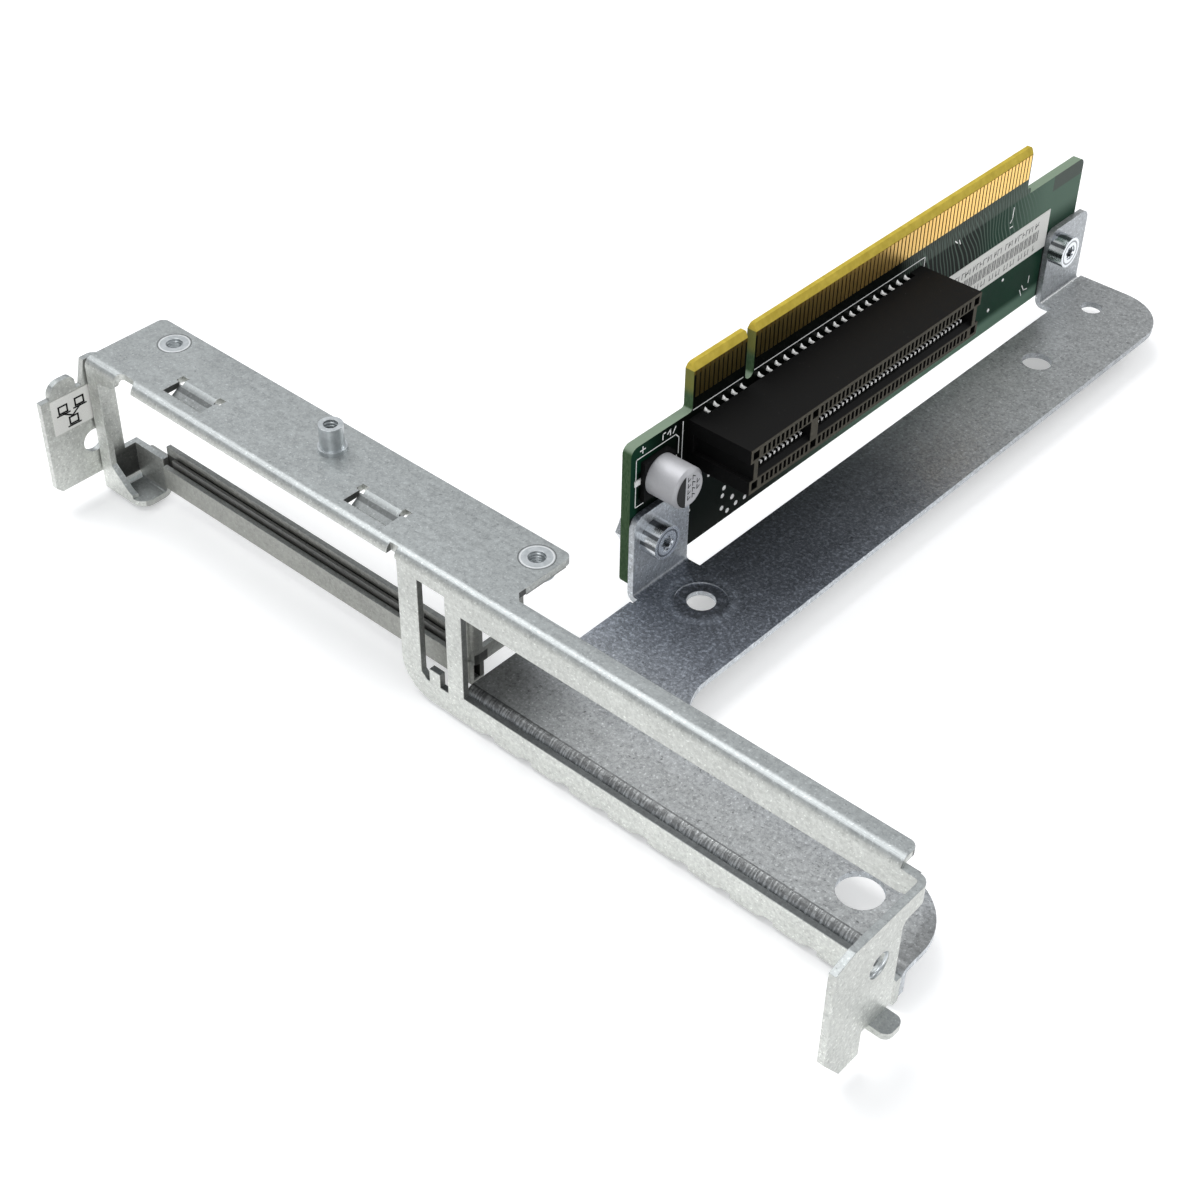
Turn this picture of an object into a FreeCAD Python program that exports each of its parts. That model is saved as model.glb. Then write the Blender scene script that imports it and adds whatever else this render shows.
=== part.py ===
# Riser card: a short expansion board held upright on a folded sheet-metal carrier.
#
# Sizes are millimetres. They are measured from three faces of the object itself:
# x from the slot side of the board, y from the front of the slot wall, z from the
# top of the shelf. The finished model is placed with its origin at the centre of
# the locating hole in the arm, on the underside of the arm.
import FreeCAD, Part
import Sketcher
import math
import os
import re

doc = FreeCAD.newDocument("RiserCard")
sheet = doc.addObject("Spreadsheet::Sheet", "Dims")

SIZES = [
    ("Sheet metal", None),
    ("gauge", "1.0"),
    ("bend_out", "1.5"),
    ("bend_in", "0.5"),
    ("corner_small", "1.2"),
    ("Corner outside the part that every profile is measured from", None),
    ("datum_x", "-110"),
    ("datum_y", "-40"),
    ("datum_z", "-60"),
    ("Front frame: shelf, lip and slot wall", None),
    ("shelf_left", "-80.6"),
    ("shelf_right", "3.9"),
    ("shelf_depth", "15.1"),
    ("lip_depth", "3.6"),
    ("lip_right", "67.3"),
    ("wall_bottom", "-23.7"),
    ("wall_left", "-14.0"),
    ("wall_corner", "5.5"),
    ("strip_bottom", "-4.8"),
    ("bar_top", "-19.3"),
    ("window_left", "-2.2"),
    ("bar_right", "69.2"),
    ("vent_left", "-10.3"),
    ("vent_right", "-5.1"),
    ("vent_top", "-2.9"),
    ("vent_bottom", "-20.1"),
    ("vent_tongue_width", "2.0"),
    ("vent_tongue_height", "2.3"),
    ("notch_left", "-15.9"),
    ("notch_width", "1.5"),
    ("notch_depth", "0.9"),
    ("relief_left", "-73.8"),
    ("relief_width", "4.0"),
    ("relief_depth", "1.4"),
    ("scallop_first", "3.5"),
    ("scallop_pitch", "6.8"),
    ("scallop_width", "2.6"),
    ("scallop_depth", "0.7"),
    ("Right tab that the card's bracket is screwed to", None),
    ("tab_face", "70.9"),
    ("tab_top", "-1.1"),
    ("tab_front", "-16.6"),
    ("tab_back", "-3.8"),
    ("tab_bottom", "-22.3"),
    ("tab_leg_back", "-9.5"),
    ("tab_flap_level", "-18.2"),
    ("tab_chamfer", "3.4"),
    ("tab_neck", "2.9"),
    ("tab_hole_y", "-7.7"),
    ("tab_hole_z", "-8.0"),
    ("tab_hole_dia", "3.7"),
    ("flap_reach", "2.7"),
    ("flap_front", "-8.1"),
    ("flap_back", "-4.7"),
    ("Left post, flange and pocket", None),
    ("post_width", "2.5"),
    ("post_depth", "2.9"),
    ("flange_face", "-81.0"),
    ("flange_front", "-8.3"),
    ("flange_shoulder", "-4.5"),
    ("flange_bottom", "-20.9"),
    ("ear_top", "-2.1"),
    ("ear_front", "-6.6"),
    ("ear_back", "-1.9"),
    ("flange_hole_y", "-0.3"),
    ("flange_hole_z", "-14.9"),
    ("flange_hole_dia", "3.9"),
    ("pocket_right", "-71.5"),
    ("pocket_depth", "5.9"),
    ("pocket_top", "-16.7"),
    ("pocket_corner", "2.2"),
    ("gusset_top", "-18.6"),
    ("gusset_right", "-72.5"),
    ("Lanced openings in the shelf", None),
    ("lance_one_left", "-65.5"),
    ("lance_two_left", "-27.1"),
    ("lance_length", "8.3"),
    ("lance_front", "2.75"),
    ("lance_depth", "3.7"),
    ("lance_reach", "2.4"),
    ("lance_drop", "1.5"),
    ("lance_gap", "0.15"),
    ("lance_relief", "0.65"),
    ("Studs and boss in the shelf", None),
    ("stud_left_x", "-73.9"),
    ("stud_right_x", "0.6"),
    ("stud_inset", "3.4"),
    ("stud_dia", "4.9"),
    ("stud_bore", "2.5"),
    ("stud_drop", "1.5"),
    ("boss_x", "-36.9"),
    ("boss_inset", "5.3"),
    ("boss_dia", "3.6"),
    ("boss_height", "4.2"),
    ("boss_collar_dia", "4.3"),
    ("boss_collar_height", "0.6"),
    ("boss_bore", "2.1"),
    ("boss_bore_depth", "3.8"),
    ("Base plate and arm", None),
    ("plate_top", "-18.7"),
    ("plate_left", "-3.0"),
    ("plate_right", "69.1"),
    ("plate_back", "14.6"),
    ("plate_corner", "9.2"),
    ("plate_flange_bottom", "-23.2"),
    ("plate_hole_x", "57.95"),
    ("plate_hole_y", "8.15"),
    ("plate_hole_dia", "6.3"),
    ("arm_left", "1.4"),
    ("arm_right", "19.9"),
    ("arm_end", "150.8"),
    ("arm_corner", "9.3"),
    ("arm_fillet", "10.0"),
    ("arm_notch", "3.5"),
    ("hole_near_x", "8.6"),
    ("hole_near_y", "37.2"),
    ("hole_near_dia", "4.3"),
    ("coin_dia", "7.8"),
    ("coin_depth", "0.2"),
    ("hole_mid_x", "10.55"),
    ("hole_mid_inset", "28.6"),
    ("hole_mid_dia", "5.0"),
    ("hole_far_x", "8.4"),
    ("hole_far_inset", "8.0"),
    ("hole_far_dia", "3.65"),
    ("Upright board tabs on the arm", None),
    ("near_tab_front", "31.0"),
    ("near_tab_length", "12.0"),
    ("far_tab_inset", "1.0"),
    ("far_tab_length", "11.8"),
    ("board_tab_top", "-5.0"),
    ("board_tab_corner", "1.9"),
    ("near_tab_corner", "4.2"),
    ("Riser board", None),
    ("board_thickness", "1.6"),
    ("board_end_inset", "4.1"),
    ("board_bottom", "-17.55"),
    ("shoulder_near", "6.5"),
    ("shoulder_far", "5.5"),
    ("edge_front", "43.85"),
    ("edge_length", "85.0"),
    ("edge_top", "14.2"),
    ("edge_bevel_drop", "1.2"),
    ("edge_bevel_depth", "0.45"),
    ("edge_relief", "1.1"),
    ("key_start", "11.65"),
    ("key_width", "1.9"),
    ("key_bottom", "5.75"),
    ("board_round", "1.3"),
    ("Gold contacts on the board's edge", None),
    ("pad_pitch", "1.0"),
    ("pad_width", "0.7"),
    ("pad_bottom", "8.6"),
    ("pad_top", "12.95"),
    ("pad_thickness", "0.06"),
    ("Card slot", None),
    ("slot_standoff", "1.0"),
    ("slot_reach", "10.2"),
    ("slot_front", "43.1"),
    ("slot_length", "56.0"),
    ("slot_centre_z", "1.7"),
    ("slot_height", "7.5"),
    ("slot_mouth", "1.8"),
    ("slot_lead_in", "0.75"),
    ("slot_mouth_depth", "8.0"),
    ("slot_end_wall", "1.7"),
    ("slot_key_start", "13.65"),
    ("slot_key_length", "1.7"),
    ("slot_end_recess", "0.8"),
    ("slot_end_recess_height", "3.0"),
    ("slot_foot_length", "3.0"),
    ("chamber_width", "0.6"),
    ("chamber_inner", "1.9"),
    ("chamber_rim", "0.5"),
    ("chamber_depth", "1.3"),
    ("end_chamber_width", "1.3"),
    ("end_chamber_inset", "0.5"),
    ("spring_width", "0.45"),
    ("spring_rise", "0.45"),
    ("spring_length", "6.0"),
    ("spring_inset", "1.2"),
    ("spring_margin", "3.0"),
    ("spring_key_gap", "0.65"),
    ("tail_width", "0.45"),
    ("tail_thickness", "0.25"),
    ("tail_inset", "0.1"),
    ("tail_pitch", "2.0"),
    ("tail_margin", "3.55"),
    ("Capacitor", None),
    ("can_y", "36.2"),
    ("can_z", "0.4"),
    ("can_dia", "6.3"),
    ("can_length", "5.4"),
    ("can_round", "0.5"),
    ("can_base_size", "6.6"),
    ("can_base_height", "0.9"),
    ("can_lead_width", "0.9"),
    ("can_lead_length", "1.1"),
    ("can_lead_thickness", "0.2"),
    ("Screws and nuts", None),
    ("screw_near_y", "34.9"),
    ("screw_near_z", "-9.6"),
    ("screw_far_inset", "10.5"),
    ("screw_far_z", "-8.6"),
    ("screw_head_dia", "5.4"),
    ("screw_head_height", "2.8"),
    ("screw_dia", "3.0"),
    ("screw_clearance", "0.3"),
    ("screw_socket_dia", "2.6"),
    ("screw_socket_depth", "1.2"),
    ("screw_tip", "0.8"),
    ("nut_across", "5.5"),
    ("nut_height", "1.6"),
    ("Rail under the connector window", None),
    ("rail_left", "-70.4"),
    ("rail_gauge", "0.8"),
    ("rail_front", "4.0"),
    ("rail_bottom", "-21.5"),
    ("rail_front_top", "-17.0"),
    ("rail_back_top", "-14.8"),
    ("box_face", "-4.5"),
    ("box_left", "-9.2"),
    ("box_bottom", "-17.9"),
    ("box_back_inset", "0.8"),
    ("box_window_front", "6.2"),
    ("box_window_depth", "3.0"),
    ("box_window_bottom", "-15.4"),
    ("box_window_height", "6.0"),
    ("liner_front", "5.1"),
    ("liner_gauge", "0.5"),
    ("liner_top", "-16.0"),
    ("Spring strip behind the lower bar", None),
    ("strip_gauge", "0.2"),
    ("strip_left", "-5.0"),
    ("strip_right", "62.5"),
    ("strip_top", "-19.9"),
    ("finger_drop", "0.7"),
    ("finger_gap", "1.4"),
    ("Labels", None),
    ("label_thickness", "0.1"),
    ("board_label_gap", "6.9"),
    ("board_label_end_gap", "0.2"),
    ("board_label_top", "-0.6"),
    ("board_label_height", "7.1"),
    ("flange_label_front", "-6.8"),
    ("flange_label_back", "0.2"),
    ("flange_label_top", "-4.8"),
    ("flange_label_height", "6.1"),
]

row = 1
for name, size in SIZES:
    sheet.set("A%d" % row, name)
    if size is not None:
        sheet.set("B%d" % row, size)
        sheet.setAlias("B%d" % row, name)
    row += 1
doc.recompute()


def bound(text):
    """Write a formula of size names as a FreeCAD expression."""
    return re.sub(r"[a-z][a-z_]*", lambda m: "Dims." + m.group(0), text)


def value(text):
    """The present value of a formula of size names."""
    return float(sheet.evalExpression(bound(text)))


# The origin of the finished model, in the object's own measures.
ORIGIN = ("hole_near_x", "hole_near_y", "plate_top - gauge")
DATUM = ("datum_x", "datum_y", "datum_z")
AXES = [FreeCAD.Vector(1, 0, 0), FreeCAD.Vector(0, 1, 0), FreeCAD.Vector(0, 0, 1)]

# Places that several pieces share.
stud_y = "shelf_depth - stud_inset"
boss_y = "shelf_depth - boss_inset"
near_tab_back = "near_tab_front + near_tab_length"
far_tab_back = "arm_end - far_tab_inset"
far_tab_front = "arm_end - far_tab_inset - far_tab_length"
screw_far_y = "arm_end - screw_far_inset"
board_back = "arm_end - board_end_inset"
edge_back = "edge_front + edge_length"
key_front = "edge_front + key_start"


def plane_axes(plane):
    """The numbers of a plane's two axes and of the axis across it."""
    first, second = ["XYZ".index(letter) for letter in plane]
    return first, second, 3 - first - second


def plane_turn(plane):
    """The turn that lays a sketch in a plane."""
    first, second, across = plane_axes(plane)
    return FreeCAD.Rotation(AXES[first], AXES[second], AXES[first].cross(AXES[second]), "XYZ")


def place(feature, axis, text):
    """Tie one coordinate of a feature's position to a formula."""
    letter = "xyz"[axis]
    feature.setExpression("Placement.Base." + letter, bound("(%s) - (%s)" % (text, ORIGIN[axis])))


def fillet_points(corners, index):
    """Tangent points and centre of the arc that rounds one corner of an outline."""
    here = corners[index]
    before = corners[index - 1]
    after = corners[(index + 1) % len(corners)]
    one = FreeCAD.Vector(before[0] - here[0], before[1] - here[1], 0).normalize()
    two = FreeCAD.Vector(after[0] - here[0], after[1] - here[1], 0).normalize()
    half = math.acos(max(-1.0, min(1.0, one.dot(two)))) / 2
    reach = here[2] / math.tan(half)
    corner = FreeCAD.Vector(here[0], here[1], 0)
    middle = (one + two).normalize()
    centre = corner + middle * (here[2] / math.sin(half))
    return corner + one * reach, corner + two * reach, centre


def sketch(name, plane, outline, low, holes=()):
    """A fully dimensioned profile. Each corner is (u, v) or (u, v, radius)."""
    u_axis, v_axis, w_axis = plane_axes(plane)
    item = doc.addObject("Sketcher::SketchObject", name)
    item.Placement = FreeCAD.Placement(FreeCAD.Vector(), plane_turn(plane))
    place(item, u_axis, DATUM[u_axis])
    place(item, v_axis, DATUM[v_axis])
    place(item, w_axis, low)
    texts = []
    corners = []
    for corner in outline:
        u_text = "(%s) - %s" % (corner[0], DATUM[u_axis])
        v_text = "(%s) - %s" % (corner[1], DATUM[v_axis])
        r_text = corner[2] if len(corner) > 2 else None
        texts.append((u_text, v_text, r_text))
        corners.append((value(u_text), value(v_text), value(r_text) if r_text else 0.0))
    count = len(corners)
    ends = []
    for index in range(count):
        if texts[index][2]:
            ends.append(fillet_points(corners, index))
        else:
            point = FreeCAD.Vector(corners[index][0], corners[index][1], 0)
            ends.append((point, point, None))
    lines = []
    for index in range(count):
        start = ends[index][1]
        finish = ends[(index + 1) % count][0]
        lines.append(item.addGeometry(Part.LineSegment(start, finish), False))
    ties = []
    for index in range(count):
        before = lines[index - 1]
        after = lines[index]
        u_text, v_text, r_text = texts[index]
        if r_text:
            first, last, centre = ends[index]
            radius = corners[index][2]
            begin = math.atan2(first.y - centre.y, first.x - centre.x)
            finish = math.atan2(last.y - centre.y, last.x - centre.x)
            turned = (finish - begin) % (2 * math.pi)
            forward = turned < math.pi
            if not forward:
                begin, finish = finish, begin
            circle = Part.Circle(centre, FreeCAD.Vector(0, 0, 1), radius)
            arc = item.addGeometry(Part.ArcOfCircle(circle, begin, finish), False)
            head, tail = (1, 2) if forward else (2, 1)
            item.addConstraint(Sketcher.Constraint("Tangent", before, 2, arc, head))
            item.addConstraint(Sketcher.Constraint("Tangent", arc, tail, after, 1))
            ties.append((item.addConstraint(Sketcher.Constraint("Radius", arc, radius)), r_text))
            mark = item.addGeometry(Part.Point(FreeCAD.Vector(corners[index][0], corners[index][1], 0)), True)
            item.addConstraint(Sketcher.Constraint("PointOnObject", mark, 1, before))
            item.addConstraint(Sketcher.Constraint("PointOnObject", mark, 1, after))
            spot = (mark, 1)
        else:
            item.addConstraint(Sketcher.Constraint("Coincident", before, 2, after, 1))
            spot = (after, 1)
        across = Sketcher.Constraint("DistanceX", -1, 1, spot[0], spot[1], corners[index][0])
        ties.append((item.addConstraint(across), u_text))
        along = Sketcher.Constraint("DistanceY", -1, 1, spot[0], spot[1], corners[index][1])
        ties.append((item.addConstraint(along), v_text))
    for u_text, v_text, d_text in holes:
        u_text = "(%s) - %s" % (u_text, DATUM[u_axis])
        v_text = "(%s) - %s" % (v_text, DATUM[v_axis])
        middle = FreeCAD.Vector(value(u_text), value(v_text), 0)
        radius = value(d_text) / 2
        ring = item.addGeometry(Part.Circle(middle, FreeCAD.Vector(0, 0, 1), radius), False)
        ties.append((item.addConstraint(Sketcher.Constraint("Radius", ring, radius)), "(%s) / 2" % d_text))
        across = Sketcher.Constraint("DistanceX", -1, 1, ring, 3, middle.x)
        ties.append((item.addConstraint(across), u_text))
        along = Sketcher.Constraint("DistanceY", -1, 1, ring, 3, middle.y)
        ties.append((item.addConstraint(along), v_text))
    for number, text in ties:
        item.setExpression("Constraints[%d]" % number, bound(text))
    return item


def prism(name, plane, outline, low, high, holes=()):
    """A profile drawn out along the third axis, from low to high."""
    base = sketch(name + "_profile", plane, outline, low, holes)
    body = doc.addObject("Part::Extrusion", name)
    body.Base = base
    body.DirMode = "Custom"
    body.Dir = AXES[plane_axes(plane)[2]]
    body.Solid = True
    body.FaceMakerClass = "Part::FaceMakerBullseye"
    body.LengthFwd = value("(%s) - (%s)" % (high, low))
    body.setExpression("LengthFwd", bound("(%s) - (%s)" % (high, low)))
    return body


def box_outline(left, right, bottom, top):
    """The four corners of a rectangle."""
    return [(left, bottom), (right, bottom), (right, top), (left, top)]


def turned(name, axis, centre, dia, low, high):
    """A round bar along one axis."""
    body = doc.addObject("Part::Cylinder", name)
    spin = {0: FreeCAD.Rotation(AXES[1], 90), 1: FreeCAD.Rotation(AXES[0], -90), 2: FreeCAD.Rotation()}
    body.Placement = FreeCAD.Placement(FreeCAD.Vector(), spin[axis])
    body.setExpression("Radius", bound("(%s) / 2" % dia))
    body.setExpression("Height", bound("(%s) - (%s)" % (high, low)))
    others = [n for n in (0, 1, 2) if n != axis]
    place(body, axis, low)
    place(body, others[0], centre[0])
    place(body, others[1], centre[1])
    return body


def block(name, left, right, front, back, bottom, top):
    """A rectangular block between six named faces."""
    body = doc.addObject("Part::Box", name)
    body.setExpression("Length", bound("(%s) - (%s)" % (right, left)))
    body.setExpression("Width", bound("(%s) - (%s)" % (back, front)))
    body.setExpression("Height", bound("(%s) - (%s)" % (top, bottom)))
    place(body, 0, left)
    place(body, 1, front)
    place(body, 2, bottom)
    return body


def fuse(name, parts):
    """Join solids into one."""
    body = doc.addObject("Part::MultiFuse", name)
    body.Shapes = parts
    body.Refine = True
    return body


def common(name, parts):
    """What several solids share."""
    body = doc.addObject("Part::MultiCommon", name)
    body.Shapes = parts
    body.Refine = True
    return body


def cut(name, base, tool):
    """Take one solid away from another."""
    body = doc.addObject("Part::Cut", name)
    body.Base = base
    body.Tool = tool
    body.Refine = True
    return body


def group(name, parts):
    """Equal solids that belong to one node."""
    body = doc.addObject("Part::Compound", name)
    body.Links = parts
    return body


NODES = []


def node(feature, label):
    """Name a finished piece."""
    feature.Label = label
    NODES.append(feature)


# Front frame. The folded sheet is what three profiles share: its section across
# the bend, its outline from above and its outline from the front.
fold = prism(
    "fold_section",
    "YZ",
    [
        ("0", "wall_bottom - 1"),
        ("0", "0", "bend_out"),
        ("shelf_depth", "0"),
        ("shelf_depth", "-gauge"),
        ("gauge", "-gauge", "bend_in"),
        ("gauge", "wall_bottom - 1"),
    ],
    "shelf_left",
    "tab_face - bend_out",
)
fold_above = prism(
    "fold_above",
    "XY",
    [
        ("shelf_left - 1", "-1"),
        ("relief_left", "-1"),
        ("relief_left", "relief_depth", "corner_small"),
        ("relief_left + relief_width", "relief_depth", "corner_small"),
        ("relief_left + relief_width", "-1"),
        ("notch_left", "-1"),
        ("notch_left", "notch_depth"),
        ("notch_left + notch_width", "notch_depth"),
        ("notch_left + notch_width", "-1"),
        ("tab_face", "-1"),
        ("tab_face", "gauge + bend_in"),
        ("lip_right", "gauge + bend_in"),
        ("lip_right", "lip_depth", "corner_small"),
        ("shelf_right + corner_small", "lip_depth"),
        ("shelf_right", "lip_depth + corner_small"),
        ("shelf_right", "shelf_depth", "corner_small"),
        ("shelf_left", "shelf_depth", "corner_small"),
        ("shelf_left", "gauge + bend_in"),
        ("shelf_left - 1", "gauge + bend_in"),
    ],
    "wall_bottom - 2",
    "2",
)
scallop_count = int(value("(strip_right - scallop_first) / scallop_pitch")) + 1
scallop_places = ["scallop_first + %d * scallop_pitch" % step for step in range(scallop_count)]
scallops = []
for position in reversed(scallop_places):
    scallops.append((position, "wall_bottom"))
    scallops.append((position, "wall_bottom + scallop_depth"))
    scallops.append((position + " - scallop_width / 2", "wall_bottom + scallop_depth"))
    scallops.append((position + " - scallop_width", "wall_bottom"))
fold_front = prism(
    "fold_front",
    "XZ",
    [
        ("shelf_left - 1", "2"),
        ("lip_right", "2"),
        ("lip_right", "tab_top"),
        ("tab_face", "tab_top"),
        ("tab_face", "tab_top - tab_neck"),
        ("lip_right", "strip_bottom"),
        ("window_left", "strip_bottom"),
        ("window_left", "bar_top"),
        ("bar_right", "bar_top"),
        ("bar_right", "wall_bottom"),
    ]
    + scallops
    + [
        ("wall_left", "wall_bottom", "wall_corner"),
        ("wall_left", "-bend_out"),
        ("relief_left", "-bend_out"),
        ("relief_left", "-bend_out - gauge", "corner_small"),
        ("shelf_left + post_width", "-bend_out - 2 * gauge"),
        ("shelf_left + post_width", "gusset_top"),
        ("gusset_right - pocket_corner", "wall_bottom + 2 * gauge", "pocket_corner"),
        ("gusset_right", "wall_bottom + gauge"),
        ("gusset_right", "wall_bottom"),
        ("shelf_left - 1", "wall_bottom"),
    ],
    "-1",
    "shelf_depth + 1",
)
vent = prism(
    "vent_opening",
    "XZ",
    [
        ("vent_left", "vent_top"),
        ("vent_left", "vent_bottom + gauge"),
        ("vent_left + gauge", "vent_bottom"),
        ("(vent_left + vent_right - vent_tongue_width) / 2", "vent_bottom"),
        ("(vent_left + vent_right - vent_tongue_width) / 2", "vent_bottom + vent_tongue_height"),
        ("(vent_left + vent_right + vent_tongue_width) / 2", "vent_bottom + vent_tongue_height"),
        ("(vent_left + vent_right + vent_tongue_width) / 2", "vent_bottom"),
        ("vent_right", "vent_bottom"),
        ("vent_right", "vent_top"),
    ],
    "-1",
    "gauge + 1",
)
folded = cut("folded_sheet", common("folded_blank", [fold, fold_above, fold_front]), vent)

# Right tab, bent forward from the end of the strip.
tab_section = prism(
    "tab_section",
    "XY",
    [
        ("lip_right", "gauge"),
        ("tab_face", "gauge", "bend_out"),
        ("tab_face", "tab_front"),
        ("tab_face - gauge", "tab_front"),
        ("tab_face - gauge", "0", "bend_in"),
        ("lip_right", "0"),
    ],
    "tab_bottom - 1",
    "1",
)
tab_outline = prism(
    "tab_outline",
    "YZ",
    [
        ("2", "tab_top"),
        ("tab_front + tab_chamfer", "tab_top"),
        ("tab_front", "tab_top - gauge"),
        ("tab_front", "tab_bottom + 1.4 * tab_chamfer"),
        ("tab_front + tab_chamfer", "tab_bottom"),
        ("tab_leg_back", "tab_bottom"),
        ("tab_leg_back", "tab_flap_level"),
        ("tab_back", "tab_flap_level"),
        ("tab_back", "tab_top - tab_neck - gauge / 4", "corner_small"),
        ("-bend_in", "tab_top - tab_neck"),
        ("2", "tab_top - tab_neck"),
    ],
    "tab_face - 3",
    "tab_face + 1",
    [("tab_hole_y", "tab_hole_z", "tab_hole_dia")],
)
tab = common("right_tab", [tab_section, tab_outline])
flap = prism(
    "flap",
    "XY",
    [
        ("tab_face - gauge", "flap_front"),
        ("tab_face + flap_reach", "flap_front", "corner_small"),
        ("tab_face + flap_reach", "flap_back", "corner_small"),
        ("tab_face - gauge", "flap_back"),
    ],
    "tab_flap_level - gauge",
    "tab_flap_level",
)

# Left post: a narrow front face, its return, the flange and the pocket.
post_return = block(
    "post_return",
    "shelf_left + post_width - gauge",
    "shelf_left + post_width",
    "gauge",
    "post_depth",
    "wall_bottom + pocket_corner",
    "-gauge",
)
pocket_plan = prism(
    "pocket_plan",
    "XY",
    [
        ("shelf_left", "gauge / 2"),
        ("pocket_right", "gauge / 2", "pocket_corner"),
        ("pocket_right", "pocket_depth + 1"),
        ("shelf_left", "pocket_depth + 1"),
    ],
    "wall_bottom - 1",
    "pocket_top + 1",
)
pocket_skins = []
for name, inset, past in (("outer", "0", "0"), ("inner", "gauge", "1")):
    skin_left = "shelf_left + post_width - gauge + " + inset
    skin_floor = "wall_bottom + " + inset
    skin_back = "pocket_depth - " + inset
    skin_top = "pocket_top + " + past
    across = prism(
        "pocket_%s_across" % name,
        "XZ",
        [
            (skin_left, skin_top),
            (skin_left, skin_floor, "pocket_corner - " + inset),
            ("pocket_right + " + past, skin_floor),
            ("pocket_right + " + past, skin_top),
        ],
        "-" + past,
        skin_back,
    )
    along = prism(
        "pocket_%s_along" % name,
        "YZ",
        [
            ("-" + past, skin_floor),
            (skin_back, skin_floor, "bend_out - " + inset),
            (skin_back, skin_top),
            ("-" + past, skin_top),
        ],
        skin_left,
        "pocket_right + " + past,
    )
    pocket_skins.append(common("pocket_" + name, [across, along]))
pocket = common("pocket", [cut("pocket_shell", *pocket_skins), pocket_plan])
floor_front = prism(
    "pocket_floor",
    "XY",
    [
        ("shelf_left", "0"),
        ("pocket_right", "0", "pocket_corner"),
        ("pocket_right", "2 * gauge + pocket_corner"),
        ("shelf_left", "2 * gauge + pocket_corner"),
    ],
    "wall_bottom",
    "wall_bottom + gauge",
)
flange_section = prism(
    "flange_section",
    "XY",
    [
        ("flange_face - gauge", "flange_front"),
        ("flange_face", "flange_front"),
        ("flange_face", "post_depth - gauge", "bend_in"),
        ("shelf_left + post_width - gauge / 2", "post_depth - gauge"),
        ("shelf_left + post_width - gauge / 2", "post_depth"),
        ("flange_face - gauge", "post_depth", "bend_out"),
    ],
    "wall_bottom",
    "-gauge / 2",
)
flange_outline = prism(
    "flange_outline",
    "YZ",
    [
        ("flange_front", "flange_shoulder"),
        ("flange_front", "flange_bottom + gauge"),
        ("flange_front + gauge", "flange_bottom"),
        ("post_depth", "flange_bottom"),
        ("post_depth", "-gauge / 2"),
        ("ear_back + 2 * gauge", "-gauge / 2"),
        ("ear_back + gauge", "flange_shoulder"),
        ("ear_back", "flange_shoulder"),
        ("ear_back", "ear_top", "corner_small"),
        ("ear_front", "ear_top", "2 * corner_small - gauge / 4"),
        ("ear_front", "flange_shoulder"),
    ],
    "flange_face - 2",
    "shelf_left + post_width",
    [("flange_hole_y", "flange_hole_z", "flange_hole_dia")],
)
flange = common("left_flange", [flange_section, flange_outline])

# Lanced openings: a window in the shelf and the tongue bent a little down from its back edge.
lances = []
reliefs = []
tongues = []
for name, left in (("lance_one", "lance_one_left"), ("lance_two", "lance_two_left")):
    back = "lance_front + lance_depth"
    right = left + " + lance_length"
    opening = prism(name + "_window", "XY", box_outline(left, right, "lance_front", back), "-gauge", "1")
    lances.append(opening)
    for side, end in (("left", left), ("right", right)):
        relief = block(
            name + "_relief_" + side,
            end + " - lance_relief",
            end + " + lance_relief",
            back + " - lance_relief",
            back + " + lance_relief",
            "-gauge - lance_drop",
            "1",
        )
        reliefs.append(relief)
    tongue = prism(
        name + "_tongue",
        "YZ",
        [
            (back, "0"),
            (back + " - lance_reach", "-lance_drop"),
            (back + " - lance_reach + gauge / 2", "-lance_drop - gauge"),
            (back + " + gauge / 4", "-gauge"),
            (back + " + gauge / 4", "0"),
        ],
        left + " + lance_gap",
        right + " - lance_gap",
    )
    tongues.append(tongue)
stud_hole_left = turned("stud_hole_left", 2, ("stud_left_x", stud_y), "stud_dia", "-gauge - 1", "1")
stud_hole_right = turned("stud_hole_right", 2, ("stud_right_x", stud_y), "stud_dia", "-2 * gauge - 1", "1")
boss_hole = turned("boss_hole", 2, ("boss_x", boss_y), "boss_dia", "-gauge - 1", "1")
pierced = cut(
    "pierced_sheet",
    folded,
    fuse("shelf_openings", lances + [stud_hole_left, stud_hole_right, boss_hole]),
)
frame_sheet = fuse("frame_sheet", [pierced, tab, flap, post_return, pocket, floor_front, flange] + tongues)
front_frame = cut("pierced_frame", frame_sheet, fuse("lance_reliefs", reliefs))
node(front_frame, "front_frame")

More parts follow.
